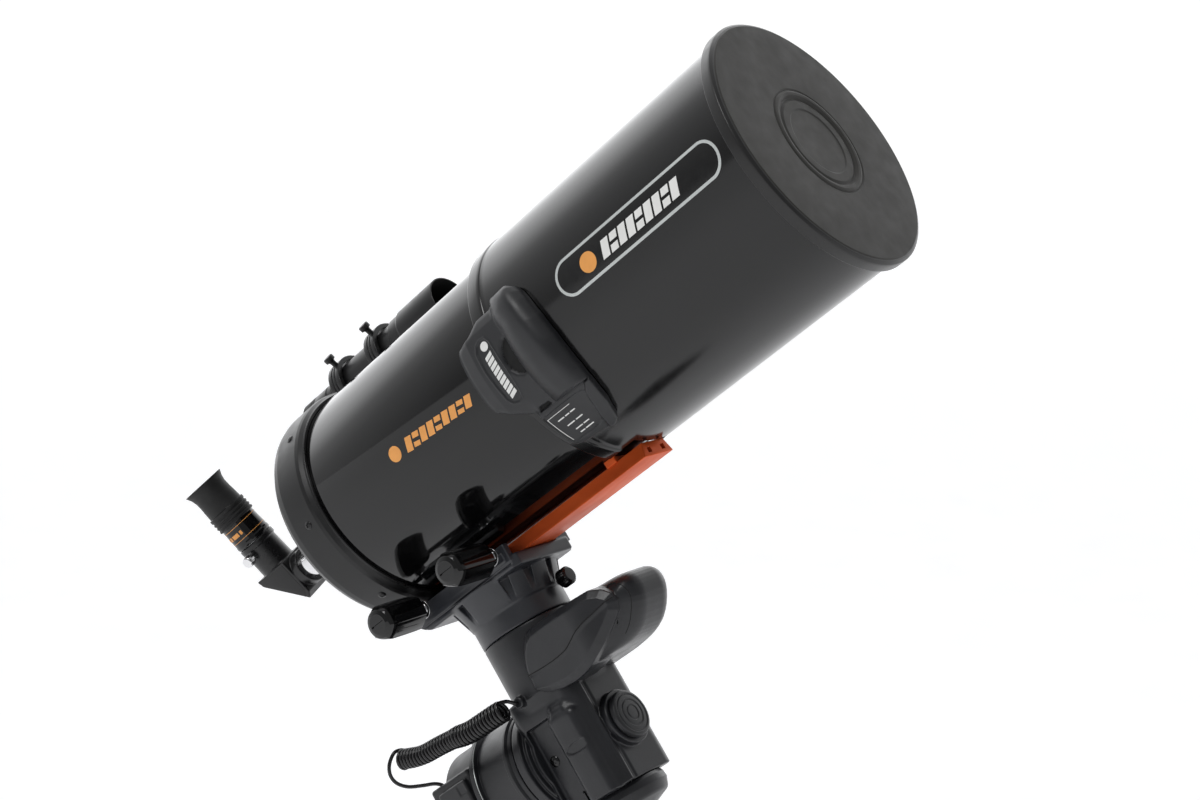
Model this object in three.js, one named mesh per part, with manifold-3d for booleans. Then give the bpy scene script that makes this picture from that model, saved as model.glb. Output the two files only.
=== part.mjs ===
// Schmidt-Cassegrain telescope on a German equatorial mount head.
// Millimetres, +Z up. The origin is the centre of the underside of the azimuth base.
// +X is the horizontal direction that the polar axis leans towards, +Y the far side of the tube.
import * as THREE from "three";
import { mergeVertices } from "three/addons/utils/BufferGeometryUtils.js";
import Module from "manifold-3d";

const wasm = await Module();
wasm.setup();
const { Manifold, Mesh: SolidMesh } = wasm;

// ---------------------------------------------------------------- driving dimensions
const GAP = 0.3; // clearance between touching pieces
const FINENESS = 0.25; // half the share of the nominal facet count that round pieces get
const LATITUDE = 34; // degrees, tilt of the polar axis above the horizon

// optical tube, measured back (s) from the front face of the cap
const CAP_R = 127;
const CAP_DEPTH = 14.5;
const SHIELD_R = 122;
const SHIELD_WALL = 2.4;
const SHIELD_END = 334;
const TUBE_R = 115.5;
const TUBE_WALL = 1.5;
const TUBE_FRONT = 286;
const TUBE_REAR = 618;
const REAR_CELL_R = 123;
const REAR_CELL_FRONT = 600;
const REAR_CELL_BACK = 665;
const APERTURE = 203.2;
const SECONDARY_R = 34.5;
const DEC_S = 543; // the declination axis crosses the tube here
const TUBE_HEIGHT = 319; // tube axis above the crossing of the two mount axes

// finder, diagonal and eyepiece
const FINDER_ANGLE = 30; // degrees from the top of the tube towards +Y
const FINDER_RHO = 169.6;
const FINDER_FRONT = 487;
const FINDER_REAR = 730;
const DIAG_S = 792;
const DIAG_TURN = 22; // degrees from the top of the tube towards -Y
const BARREL_R = 15.85; // 1.25 inch push-fit barrel

// dovetail
const DOVE_FRONT = 306;
const DOVE_REAR = 632;
const DOVE_FLOOR = 134; // below the tube axis

// mount head
const PIVOT_Z = 135; // altitude pivot above the base
const CROSS_X = 85; // crossing of the axes, ahead of the pivot along the polar axis
const CROSS_Z = 80; // and above it
const RA_R = 62;
const DEC_R = 49;
const SHAFT_R = 10; // counterweight shaft
const SHAFT_END = 384; // below the crossing
const WEIGHT_R = 50;
const WEIGHT_H = 84;
const WEIGHT_AT = 300;

// ---------------------------------------------------------------- helpers
const rad = (a) => (a * Math.PI) / 180;

// A three.js geometry as a solid; pole triangles with no area are dropped.
function solid(geometry) {
  const g = geometry.index ? geometry.toNonIndexed() : geometry;
  const bare = new THREE.BufferGeometry().setAttribute("position", g.getAttribute("position"));
  const m = mergeVertices(bare, 1e-4);
  const idx = m.index.array;
  const make = (flip) => {
    const tri = [];
    for (let i = 0; i < idx.length; i += 3) {
      const [a, b, c] = [idx[i], idx[i + 1], idx[i + 2]];
      if (a !== b && b !== c && a !== c) flip ? tri.push(a, c, b) : tri.push(a, b, c);
    }
    return new Manifold(
      new SolidMesh({
        numProp: 3,
        vertProperties: new Float32Array(m.attributes.position.array),
        triVerts: new Uint32Array(tri),
      }),
    );
  };
  const s = make(false);
  return s.volume() < 0 ? make(true) : s;
}

const box = (x0, x1, y0, y1, z0, z1) =>
  solid(new THREE.BoxGeometry(x1 - x0, y1 - y0, z1 - z0)).translate([(x0 + x1) / 2, (y0 + y1) / 2, (z0 + z1) / 2]);

// A solid of revolution from (along, radius) pairs that close on themselves or on the axis.
function turned(axis, pairs, steps = 40) {
  const seg = Math.max(8, 2 * Math.round(steps * FINENESS)); // an even count, alike on pieces that nest
  const pts = pairs.map(([a, r]) => new THREE.Vector2(r, a));
  if (pairs[0][1] > 0 || pairs[pairs.length - 1][1] > 0) pts.push(pts[0].clone());
  const s = solid(new THREE.LatheGeometry(pts, seg));
  if (axis === "x") return s.rotate([0, 0, -90]);
  if (axis === "z") return s.rotate([90, 0, 0]);
  return s;
}
const rod = (axis, r, a0, a1, seg = 24) =>
  turned(axis, [[a0, 0], [a0, r], [a1, r], [a1, 0]], seg);
const ring = (axis, ri, ro, a0, a1, seg = 40) =>
  turned(axis, [[a0, ri], [a0, ro], [a1, ro], [a1, ri]], seg);

// A flat outline pushed along one axis: "y" takes (x, z) points, "x" takes (y, z), "z" takes (x, y).
function plate(axis, pts, a0, a1) {
  const shape = new THREE.Shape(pts.map(([u, v]) => new THREE.Vector2(u, v)));
  const s = solid(new THREE.ExtrudeGeometry(shape, { depth: a1 - a0, bevelEnabled: false, curveSegments: 12 }));
  if (axis === "z") return s.translate([0, 0, a0]);
  if (axis === "x") return s.rotate([90, 0, 90]).translate([a0, 0, 0]);
  return s.rotate([90, 0, 0]).translate([0, a1, 0]);
}

const ball = (r, x, y, z, w = 14, h = 9) => solid(new THREE.SphereGeometry(r, w, h)).translate([x, y, z]);
const hull = (...parts) => Manifold.hull(parts);
const join = (...parts) => parts.reduce((a, b) => a.add(b));
const cut = (a, ...parts) => parts.reduce((x, b) => x.subtract(b), a);

// A bent wall on the tube: a grid of (s, angle) with an inner and an outer radius.
// The angle runs from 0 on the -Y side of the tube up to 90 at its top.
function wrapped(ns, na, sAt, angleAt, rInner, rOuter) {
  const g = new THREE.BoxGeometry(1, 1, 1, ns, na, 1);
  const p = g.getAttribute("position");
  for (let i = 0; i < p.count; i++) {
    const u = p.getX(i) + 0.5, v = p.getY(i) + 0.5, w = p.getZ(i) + 0.5;
    const a = angleAt(v, u), s = sAt(u, v);
    const r = w < 0.5 ? rInner(u, v) : rOuter(u, v);
    p.setXYZ(i, -s, -r * Math.cos(rad(a)), r * Math.sin(rad(a)));
  }
  return solid(g);
}

// A tube along a smooth route.
function cable(points, r, sides = 10, steps = 24) {
  const curve = new THREE.CatmullRomCurve3(points.map((q) => new THREE.Vector3(...q)));
  const shape = new THREE.Shape();
  for (let i = 0; i < sides; i++) {
    const a = (i / sides) * Math.PI * 2;
    i ? shape.lineTo(r * Math.cos(a), r * Math.sin(a)) : shape.moveTo(r, 0);
  }
  return solid(new THREE.ExtrudeGeometry(shape, { steps, extrudePath: curve, bevelEnabled: false }));
}

const paint = (color, roughness, metalness = 0) => new THREE.MeshStandardMaterial({ color, roughness, metalness });
const MAT = {
  cap: paint(0x464542, 0.6),
  gloss: paint(0x141414, 0.18, 0.3),
  satin: paint(0x2f2f30, 0.5, 0.2),
  moulded: paint(0x2b2c2e, 0.55),
  casting: paint(0x3a3c41, 0.5, 0.3),
  orange: paint(0xc85528, 0.4, 0.5),
  knob: paint(0x0c0c0d, 0.2),
  steel: paint(0xb8b8ba, 0.3, 1),
  chrome: paint(0xe0e0e0, 0.12, 1),
  brass: paint(0xb58a3a, 0.35, 1),
  glass: paint(0xbfd4dc, 0.05),
  mirror: paint(0xf0f2f4, 0.03, 1),
  rubber: paint(0x161616, 0.8),
};

function piece(parent, name, s, material) {
  const m = s.getMesh(), n = m.numProp;
  const v = new Float32Array(m.numVert * 3);
  for (let i = 0; i < m.numVert; i++) v.set(m.vertProperties.subarray(i * n, i * n + 3), i * 3);
  let g = new THREE.BufferGeometry();
  g.setAttribute("position", new THREE.BufferAttribute(v, 3));
  g.setIndex(new THREE.BufferAttribute(new Uint32Array(m.triVerts), 1));
  g = g.toNonIndexed();
  g.computeVertexNormals();
  const mesh = new THREE.Mesh(g, material);
  mesh.name = name;
  parent.add(mesh);
  return mesh;
}

// ---------------------------------------------------------------- frames
const telescope = new THREE.Group();
const altitude = new THREE.Group(); // at the altitude pivot, x along the polar axis
altitude.position.set(0, 0, PIVOT_Z);
altitude.rotation.y = -rad(LATITUDE);
telescope.add(altitude);
const head = new THREE.Group(); // at the crossing of the axes: x polar axis, z declination axis
head.position.set(CROSS_X, 0, CROSS_Z);
altitude.add(head);
const ota = new THREE.Group(); // at the centre of the cap's front face: x = -s
ota.position.set(DEC_S, 0, TUBE_HEIGHT);
head.add(ota);

// ---------------------------------------------------------------- azimuth base and fork
{
  let base = join(
    turned("z", [[0, 0], [0, 58], [2, 60], [13, 60], [15, 58], [15, 16], [15, 0]], 48),
    rod("z", 14, 14, 30, 28),
    box(48, 85, -7, 7, 1, 13),
    rod("z", 6, 1, 34, 32).translate([77, 0, 0]),
  );
  for (const a of [60, 180, 300])
    base = base.subtract(rod("z", 4.2, -1, 16, 16).translate([46 * Math.cos(rad(a)), 46 * Math.sin(rad(a)), 0]));
  piece(telescope, "azimuth_base", base, MAT.casting);

  const armOutline = [];
  for (let i = 0; i <= 12; i++) {
    const a = rad(-20 + (i * 220) / 12);
    armOutline.push([22 * Math.cos(a), PIVOT_Z + 22 * Math.sin(a)]);
  }
  armOutline.push([-56, 60], [-56, 17], [56, 17], [56, 60]);
  const arm = (y0, y1) => plate("y", armOutline, y0, y1);
  let fork = join(
    turned("z", [[15.4, 14.5], [15.4, 58], [17, 60], [33, 60], [35, 57], [35, 0], [30.6, 0], [30.6, 14.5]], 48),
    arm(40, 54),
    arm(-54, -40),
    box(50, 62, -50, 50, 30, 89),
    box(-62, -50, -50, 50, 30, 89),
    box(40, 89, 20, 34, 18, 35),
    box(40, 89, -34, -20, 18, 35),
  );
  fork = cut(
    fork,
    rod("y", 8.3, -60, 60, 24).translate([0, 0, PIVOT_Z]),
    rod("x", 5.4, 40, 70, 20).translate([0, 0, PIVOT_Z - 58]),
    rod("x", 5.4, -70, -40, 20).translate([0, 0, PIVOT_Z - 58]),
    rod("y", 4.4, 10, 60, 18).translate([77, 0, 26]),
    rod("y", 4.4, -60, -10, 18).translate([77, 0, 26]),
    rod("z", 14.5, 10, 30.6, 28),
    box(66, 88, -19.9, 19.9, 15.8, 36), // room for the base's peg
  );
  piece(telescope, "azimuth_fork", fork, MAT.casting);

  piece(
    telescope,
    "altitude_pivot_pin",
    join(
      rod("y", 8, -58, 58, 24),
      turned("y", [[54.4, 0], [54.4, 15], [60, 15], [62, 12], [62, 0]], 28),
      turned("y", [[-54.4, 0], [-54.4, 15], [-60, 15], [-62, 12], [-62, 0]], 28),
    ).translate([0, 0, PIVOT_Z]),
    MAT.steel,
  );

  // Azimuth knobs: one screw on each side of the peg.
  const azKnob = (side) =>
    join(
      rod("y", 4, 6.4, 50, 16),
      turned("y", [[45.6, 0], [45.6, 9], [49, 9], [49, 13], [51, 14], [65, 14], [68, 11.5], [68, 0]], 24), // clear of the lug by the screw's travel
    )
      .scale([1, side, 1])
      .translate([77, 0, 26]);
  piece(telescope, "azimuth_knob_far", azKnob(1), MAT.knob);
  piece(telescope, "azimuth_knob_near", azKnob(-1), MAT.knob);

  // Altitude screws: a threaded shank and a cross handle.
  const altBolt = (tip, bar) =>
    join(
      rod("x", 5, tip, bar, 16),
      rod("y", 4, -24, 24, 16).translate([bar, 0, 0]),
      ball(6, bar, 24, 0, 8, 6),
      ball(6, bar, -24, 0, 8, 6),
    ).translate([0, 0, PIVOT_Z - 58]);
  piece(telescope, "altitude_screw_front", altBolt(13.2, 90), MAT.steel);
  piece(telescope, "altitude_screw_rear", altBolt(-13.2, -103), MAT.steel);
}

// ---------------------------------------------------------------- right ascension housing
const PX = -CROSS_X, PZ = -CROSS_Z; // the pivot in the head's frame
{
  let barrel = turned(
    "x",
    [[-49.6, 24], [-49.6, 60], [-57, 61], [-57, 62.6], [-61, 62.6], [-61, RA_R], [-99, RA_R], [-99, 66], [-101, 67], [-106, 67], [-107, 66], [-107, 24]],
    56,
  );
  const boss = rod("y", 24, -39.4, 39.4, 32).translate([PX, 0, PZ]);
  const web = hull(rod("y", 20, -30, 30, 24).translate([PX, 0, PZ]), box(-104, -58, -30, 30, -52, -46));
  const noseAt = [PX - 62 * Math.sin(rad(LATITUDE)), PZ - 62 * Math.cos(rad(LATITUDE))];
  const tongue = hull(
    rod("y", 14, -14, 14, 20).translate([PX, 0, PZ]),
    rod("y", 10, -14, 14, 20).translate([noseAt[0], 0, noseAt[1]]),
  );
  let housing = join(barrel, boss, web, tongue);
  housing = cut(
    housing,
    rod("x", 40, -76, -40, 40),
    rod("x", 24, -120, -70, 32),
    box(-76, -58, -27, 27, -50, -30), // worm pocket
    rod("y", 8.3, -50, 50, 24).translate([PX, 0, PZ]),
    rod("y", 8.4, 50, 75, 16).translate([-85, 0, 8]), // clutch seat on the far side
  );
  piece(head, "ra_housing", housing, MAT.casting);

  // Motor cover: three quarters of a drum with a domed end and a slanted port panel on the near side.
  const drum = turned(
    "x",
    [[-107.4, 0], [-107.4, 60], [-150, 60], [-158, 57], [-164, 50], [-168, 38], [-169, 0]],
    56,
  );
  const panel = hull(
    box(-112, -152, -66, -40, -16, 30),
    box(-108, -166, -58, -40, -24, 38),
  );
  let cover = join(drum, panel).intersect(box(-200, -100, -80, 80, -25, 80));
  const hollow = turned("x", [[-100, 0], [-100, 55], [-148, 55], [-156, 51], [-161, 44], [-164, 0]], 40).intersect(
    box(-200, -90, -80, 80, -20, 80),
  );
  cover = cut(
    cover,
    hollow,
    rod("x", 15, -200, -140, 28),
    box(-126, -138, -70, -60.5, -4, 12),
    box(-142, -150, -70, -60.5, -4, 12),
  );
  piece(head, "ra_motor_cover", cover, MAT.moulded);
  piece(
    head,
    "ra_motor",
    join(rod("x", 15, -112, -140, 24), rod("x", 3, -140, -146, 12)).translate([0, 34, 10]),
    MAT.steel,
  );
  piece(head, "ra_front_bearing", ring("x", 19.4, 39.6, -51, -60, 40), MAT.steel);
  piece(
    head,
    "ra_worm",
    join(rod("y", 5.6, -15, 15, 16), rod("y", 3, -25, 25, 12)).translate([-68, 0, -42.5]),
    MAT.brass,
  );
  // Clutch lever on the far side of the housing.
  piece(
    head,
    "ra_clutch_lever",
    join(
      rod("y", 7.2, 58.6, 67, 16),
      rod("y", 11, 66.5, 76, 20),
      hull(rod("y", 6, 69, 75, 14), rod("y", 4, 71, 75, 14).translate([-8, 0, 44])),
    ).translate([-85, 0, 8]),
    MAT.steel,
  );
}

// ---------------------------------------------------------------- turning head: declination housing
const PORT_AT = [-10, 0, 64]; // where the coiled lead leaves the declination housing
{
  piece(
    head,
    "ra_shaft",
    turned("x", [[-45, 13], [-45, 19], [-80, 19], [-80, 17], [-106, 17], [-106, 13]], 32),
    MAT.steel,
  );
  piece(head, "ra_worm_wheel", ring("x", 19.4, 36.2, -62, -74, 48), MAT.brass);

  // Rounded-square column below, round barrel above, flange behind, port ring in front.
  const col = [];
  for (let i = 0; i < 32; i++) {
    const a = (i / 32) * Math.PI * 2, c = Math.cos(a), s = Math.sin(a);
    const k = 45 / Math.pow(Math.pow(Math.abs(c), 3.2) + Math.pow(Math.abs(s), 3.2), 1 / 3.2);
    col.push([k * c, k * s]);
  }
  const column = plate("z", col, -56, 62);
  const upper = turned("z", [[52, 0], [58, 44], [62, DEC_R], [123, DEC_R], [124, 48], [124, 0]], 56);
  const flange = turned("x", [[-26, 0], [-28, 50], [-31, 58], [-35, 60], [-49, 60], [-49, 0]], 56).intersect(box(-60, 0, -80, 80, -55.8, 80));
  const rib = hull(box(-26, 12, -52, -40, -52, 34), box(-22, 8, -49, -40, -54, 44));
  const ridge = box(18, 22, -47.5, -40, -54, 54);
  const portRing = ring("x", 21, 28, 40, 53, 36);
  let housing = join(column, upper, flange, rib, ridge, portRing);
  // Mating collar for the pod's shell.
  housing = cut(
    housing,
    rod("z", 30, -40, 112, 40),
    rod("z", 38, 111.9, 130, 40),
    rod("z", 38, -60, -39.9, 40),
    rod("x", 19.4, -60, -20, 32),
    rod("x", 21, 20, 60, 32),
    box(26, 40.5, -24, 24, 62, 78), // declination worm pocket
  );
  // Gland that the coiled lead comes out of.
  housing = housing.add(turned("y", [[-40, 0], [-40, 10], [-55, 9], [-58, 6.5], [-58, 0]], 20).translate(PORT_AT));
  piece(head, "dec_housing", housing, MAT.casting);

  // Motor pod: a broad rounded shell that reaches forward of the barrel.
  const podAt = 91;
  const podOuter = hull(
    rod("y", 35, -47, 47, 28).translate([-2, 0, podAt - 3]),
    rod("y", 35, -46, 46, 28).translate([52, 0, podAt]),
    ball(34, 110, 14, podAt, 16, 10),
    ball(34, 110, -12, podAt, 16, 10),
    ball(26, 116, 0, podAt, 16, 10),
  );
  const podInner = hull(
    rod("y", 30, -40, 40, 24).translate([52, 0, podAt]),
    ball(30, 107, 12, podAt, 12, 8),
    ball(30, 107, -10, podAt, 12, 8),
  );
  const pod = cut(
    podOuter,
    turned("z", [[50, 0], [50, 49.4], [130, 49.4], [130, 0]], 56),
    plate("z", col.map(([x, y]) => [x * 1.012, y * 1.012]), 40, 62.4),
    podInner.subtract(rod("z", 49.4, 0, 140, 40)),
  ).intersect(box(16, 200, -80, 80, 40, 123.4));
  piece(head, "dec_motor_pod", pod, MAT.moulded);
  piece(
    head,
    "dec_motor",
    join(rod("x", 15, 62, 96, 24), rod("x", 3, 56, 62, 12)).translate([0, 0, podAt]),
    MAT.steel,
  );
  piece(
    head,
    "dec_worm",
    join(rod("y", 5, -14, 14, 16), rod("y", 3, -22, 22, 12)).translate([34, 0, 70]),
    MAT.brass,
  );
  piece(head, "dec_upper_bearing", ring("z", 22.4, 37.6, 113, 122, 40), MAT.steel);
  piece(
    head,
    "polar_cap",
    turned("x", [[45, 0], [45, 20.6], [53.4, 20.6], [53.4, 23], [55, 24], [60, 23.4], [61.4, 21], [61.4, 0]], 36),
    MAT.moulded,
  );
  piece(
    head,
    "counterweight_collar",
    turned("z", [[-56.4, 10.4], [-56.4, 45], [-60, 46.5], [-66, 47], [-76, 43], [-84, 24], [-90, 18], [-90, 10.4]], 48),
    MAT.casting,
  );
  piece(head, "counterweight_shaft", turned("z", [[-54, 0], [-54, SHAFT_R], [-SHAFT_END, SHAFT_R], [-SHAFT_END, 0]], 32), MAT.chrome);
  const wTop = -(WEIGHT_AT - WEIGHT_H / 2), wEnd = -(WEIGHT_AT + WEIGHT_H / 2);
  piece(
    head,
    "counterweight",
    cut(
      turned("z", [[wTop, 10.4], [wTop, 44], [wTop - 6, WEIGHT_R], [wEnd + 6, WEIGHT_R], [wEnd, 44], [wEnd, 10.4]], 48),
      rod("y", 4.4, -70, -5, 14).translate([0, 0, -WEIGHT_AT]),
    ),
    MAT.casting,
  );
  piece(
    head,
    "counterweight_lock_knob",
    join(
      rod("y", 4, -11.4, -56, 14),
      turned("y", [[-50.4, 0], [-50.4, 7], [-54, 7], [-54, 13], [-66, 14], [-69, 11], [-69, 0]], 24),
    ).translate([0, 0, -WEIGHT_AT]),
    MAT.knob,
  );
  piece(
    head,
    "safety_nut",
    turned("z", [[-SHAFT_END - 0.4, 0], [-SHAFT_END - 0.4, 18], [-SHAFT_END - 6, 18], [-SHAFT_END - 6, 12], [-SHAFT_END - 16, 11], [-SHAFT_END - 16, 0]], 24),
    MAT.steel,
  );

  // The coiled lead between the declination and right ascension motors.
  piece(head, "dec_cable_coil_front", cable([[-14, -73, 61], [-30, -74, 61.5], [-49, -74, 61.5]], 12, 12, 6), MAT.rubber);
  piece(
    head,
    "dec_cable_coil_rear",
    cable([[-50.4, -74, 61.5], [-62, -74, 62], [-82, -74, 66], [-108, -73, 69], [-138, -72, 72], [-166, -70, 81]], 12, 12, 16),
    MAT.rubber,
  );
  piece(head, "dec_cable_lead", cable([[-170, -70, 83], [-178, -70, 82], [-182, -70, 73], [-176, -68, 59], [-162, -60, 48], [-154, -52, 41]], 2.5, 8, 14), MAT.rubber);
}

// ---------------------------------------------------------------- declination shaft and saddle
{
  piece(
    head,
    "dec_shaft",
    turned("z", [[-52, 12], [-52, 22], [123.6, 22], [123.6, 12]], 36),
    MAT.steel,
  );
  piece(head, "dec_worm_wheel", ring("z", 22.4, 28.4, 64, 76, 48), MAT.brass);

  const cone = turned("z", [[124.4, 0], [124.4, 48.4], [128, 49.4], [150, 50.5], [166, 55], [172, 58], [172, 0]], 56);
  const table = plate("z", [[-78, -50], [60, -50], [66, -42], [66, 40], [58, 48], [-74, 48], [-80, 42], [-80, -46]], 171, 184.4);
  const farJaw = plate("x", [[26.2, 184], [24.6, 187], [21.6, 197], [40, 197], [47, 190], [47, 184]], -78, 64);
  const nearWall = box(-80, 62, -50, -42, 184, 197);
  let saddle = join(cone, table, farJaw, nearWall);
  // Tapering pockets between the ribs under the table.
  for (const a of [-106, -49, -23, 7, 35, 62, 90, 117, 145, 172, 200, 227])
    saddle = saddle.subtract(
      hull(box(50.6, 51.4, -0.5, 0.5, 134, 134.6), box(50, 64, -4.2, 4.2, 170, 170.9)).rotate([0, 0, a]),
    );
  saddle = cut(
    saddle,
    rod("z", 12, 120, 160, 28),
    rod("y", 4.2, -60, -30, 16).translate([43, 0, 192.5]),
    rod("y", 4.2, -60, -30, 16).translate([-64, 0, 192.5]),
  );
  piece(head, "saddle", saddle, MAT.casting);
  piece(
    head,
    "saddle_jaw",
    plate("x", [[-25.6, 184.8], [-24.6, 187], [-21.6, 197], [-31, 197], [-36.6, 193], [-36.6, 184.8]], -76, 46),
    MAT.steel,
  );
  const clampKnob = (x) => {
    const side = [];
    for (let i = 0; i < 24; i++) {
      const a = (i / 24) * Math.PI * 2;
      const r = 18.2 - 1.5 * Math.pow(Math.abs(Math.sin(3 * a)), 0.7);
      side.push([r * Math.cos(a), r * Math.sin(a)]);
    }
    return join(
      rod("y", 3.8, -37, -60, 14),
      rod("y", 6, -50.4, -59, 20),
      hull(
        plate("y", side, -114, -64),
        plate("y", side.map(([u, v]) => [u * 0.72, v * 0.72]), -119, -58.5),
      ),
    ).translate([x, 0, 192.5]);
  };
  piece(head, "saddle_knob_front", clampKnob(43), MAT.knob);
  piece(head, "saddle_knob_rear", clampKnob(-64), MAT.knob);

  // Clutch knob on the front of the turning saddle base.
  piece(
    head,
    "dec_clutch_knob",
    join(rod("x", 3.5, 51.5, 58, 12), turned("x", [[55, 0], [55, 7], [57, 9.5], [67, 9.5], [69, 7], [69, 0]], 20)).translate([0, 12, 146]),
    MAT.knob,
  );
}

// ---------------------------------------------------------------- optical tube (x = -s)
{
  // Dovetail: wide foot, channelled sides, a raised pad with a curved seat at each end.
  const section = [[-24, -DOVE_FLOOR], [24, -DOVE_FLOOR], [22.8, -131], [18.6, -121], [18.6, -119.5], [-18.6, -119.5], [-18.6, -121], [-22.8, -131]];
  let bar = plate("x", section, -DOVE_REAR, -DOVE_FRONT);
  const seat = (s0, s1) => box(-s1, -s0, -21, 21, -121, -100).subtract(rod("x", 116, -s1 - 5, -s0 + 5, 96));
  bar = join(bar, seat(338, 352), seat(574, 592));
  bar = cut(
    bar,
    box(-560, -360, -12, 12, -125, -119), // lightening channel
    rod("x", REAR_CELL_R + 0.7, -660, -596, 112), // seat under the rear cell
    box(-DOVE_FRONT - 18, -DOVE_FRONT + 1, 8, 14, -130.5, -125),
    box(-DOVE_FRONT - 18, -DOVE_FRONT + 1, -14, -8, -130.5, -125),
  );
  piece(ota, "dovetail_bar", bar, MAT.orange);

  piece(ota, "optical_tube", ring("x", TUBE_R - TUBE_WALL, TUBE_R, -TUBE_REAR, -TUBE_FRONT, 64), MAT.gloss);

  // Front cell carries the corrector plate; it slips over the tube.
  piece(
    ota,
    "front_cell",
    turned(
      "x",
      [[-258, 107.6], [-258, 117.6], [-262, 118.6], [-298, 118.6], [-300, 117.6], [-300, TUBE_R + GAP], [-285.6, TUBE_R + GAP], [-285.6, 101.4], [-276, 101.4], [-276, 107.6]],
      64,
    ),
    MAT.satin,
  );
  const CORR_R = 104;
  piece(ota, "corrector_plate", ring("x", 27, CORR_R, -275.6, -271.4, 64), MAT.glass);
  piece(ota, "corrector_retainer", ring("x", 99.5, 107.2, -271, -267, 64), MAT.satin);
  piece(
    ota,
    "secondary_cell",
    turned(
      "x",
      [[-258, 0], [-258, SECONDARY_R - 4], [-261, SECONDARY_R], [-271, SECONDARY_R], [-271, 26.6], [-276, 26.6], [-276, 32], [-296, 32], [-296, 28], [-280, 28], [-280, 0]],
      40,
    ),
    MAT.moulded,
  );
  piece(ota, "secondary_mirror", turned("x", [[-281, 0], [-281, 27.6], [-292, 27.6], [-291, 14], [-290.4, 0]], 36), MAT.mirror);

  // Rear cell: rim, cylinder, rounded taper to the back plate.
  piece(
    ota,
    "rear_cell",
    cut(
      turned(
        "x",
        [
          [-REAR_CELL_FRONT, TUBE_R + GAP], [-REAR_CELL_FRONT, 118.4], [-602, 119.2], [-606, 122], [-610, REAR_CELL_R],
          [-640, REAR_CELL_R], [-647, 121.5], [-654, 116.5], [-661, 108], [-REAR_CELL_BACK, 101], [-REAR_CELL_BACK, 26], [-672, 26], [-672, 19],
          [-652, 19], [-652, 108], [-640, 115.5], [-620, 115.5], [-620, TUBE_R + GAP],
        ],
        64,
      ),
      rod("x", 4.5, -690, -630, 16).translate([0, 52, -18]),
    ),
    MAT.satin,
  );
  piece(
    ota,
    "baffle_tube",
    turned("x", [[-655, 15.4], [-655, 18.7], [-651.6, 18.7], [-480, 18.7], [-480, 15.4]], 32),
    MAT.rubber,
  );
  piece(
    ota,
    "primary_mirror",
    turned(
      "x",
      [[-613, APERTURE / 2 + 1], [-615.5, 70], [-617, 30], [-617, 26], [-606, 26], [-606, 19.2], [-644, 19.2], [-644, 26], [-634, 30], [-631, 100], [-628, APERTURE / 2 + 1]],
      56,
    ),
    MAT.mirror,
  );
  piece(
    ota,
    "focus_knob",
    join(
      rod("x", 4, -641, -672, 14),
      turned("x", [[-665.4, 0], [-665.4, 13], [-668, 16], [-690, 15], [-693, 12], [-693, 0]], 24),
    ).translate([0, 52, -18]),
    MAT.rubber,
  );
  piece(
    ota,
    "visual_back",
    turned("x", [[-665.4, 26.4], [-665.4, 31], [-684, 31], [-686, 27], [-722, 22], [-724, 24], [-736, 24], [-738, 22], [-738, 16.2], [-673, 16.2], [-673, 26.4]], 36),
    MAT.satin,
  );
}

// Star diagonal and eyepiece: z up the eyepiece, x forward, at the centre of the prism.
const diag = new THREE.Group();
diag.position.set(-DIAG_S, 0, 0);
diag.rotation.x = rad(DIAG_TURN);
ota.add(diag);
{
  const wedge = plate("y", [[24, 22], [24, -20], [18, -26], [-20, 14], [-22, 22]], -21, 21);
  let body = join(
    wedge,
    ring("x", 12.6, BARREL_R, 20, 88, 28),
    rod("x", 20, 22, 34, 28),
    turned("z", [[18, 0], [18, 20], [52, 19.4], [52, 21.4], [57, 21.4], [58, 20], [58, 0]], 28),
  );
  body = cut(
    body,
    rod("z", 16.2, 22, 60, 36),
    rod("x", 12.6, 10, 90, 28),
    plate("y", [[17, 21], [17, -15], [-15, 15], [-15, 21]], -16.5, 16.5),
    rod("y", 3.1, -30, -10, 12).translate([0, 0, 46]),
  );
  piece(diag, "diagonal_body", body, MAT.satin);
  piece(diag, "diagonal_prism", plate("y", [[15.6, 15.4], [15.6, -11.6], [-11.4, 15.4]], -15.6, 15.6), MAT.glass);
  piece(
    diag,
    "diagonal_thumbscrew",
    join(rod("y", 2.8, -16.6, -27, 12), rod("y", 6, -24.4, -35, 16)).translate([0, 0, 46]),
    MAT.chrome,
  );
  piece(
    diag,
    "eyepiece",
    turned(
      "z",
      [[28, 12.6], [28, BARREL_R], [58.4, BARREL_R], [58.4, 20.6], [62, 21.4], [86, 20.4], [86, 22.4], [104, 22.4], [104, 20.6], [114, 20.2], [126, 19.8], [133, 21], [139, 24.2], [139, 22.6], [132, 18.8], [124, 17], [112, 16.4], [112, 14], [60, 12.6]],
      36,
    ),
    MAT.gloss,
  );
  piece(diag, "eyepiece_lens", turned("z", [[106, 0], [106, 13.6], [110, 13.6], [111.2, 8], [111.6, 0]], 28), MAT.glass);
}

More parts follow.
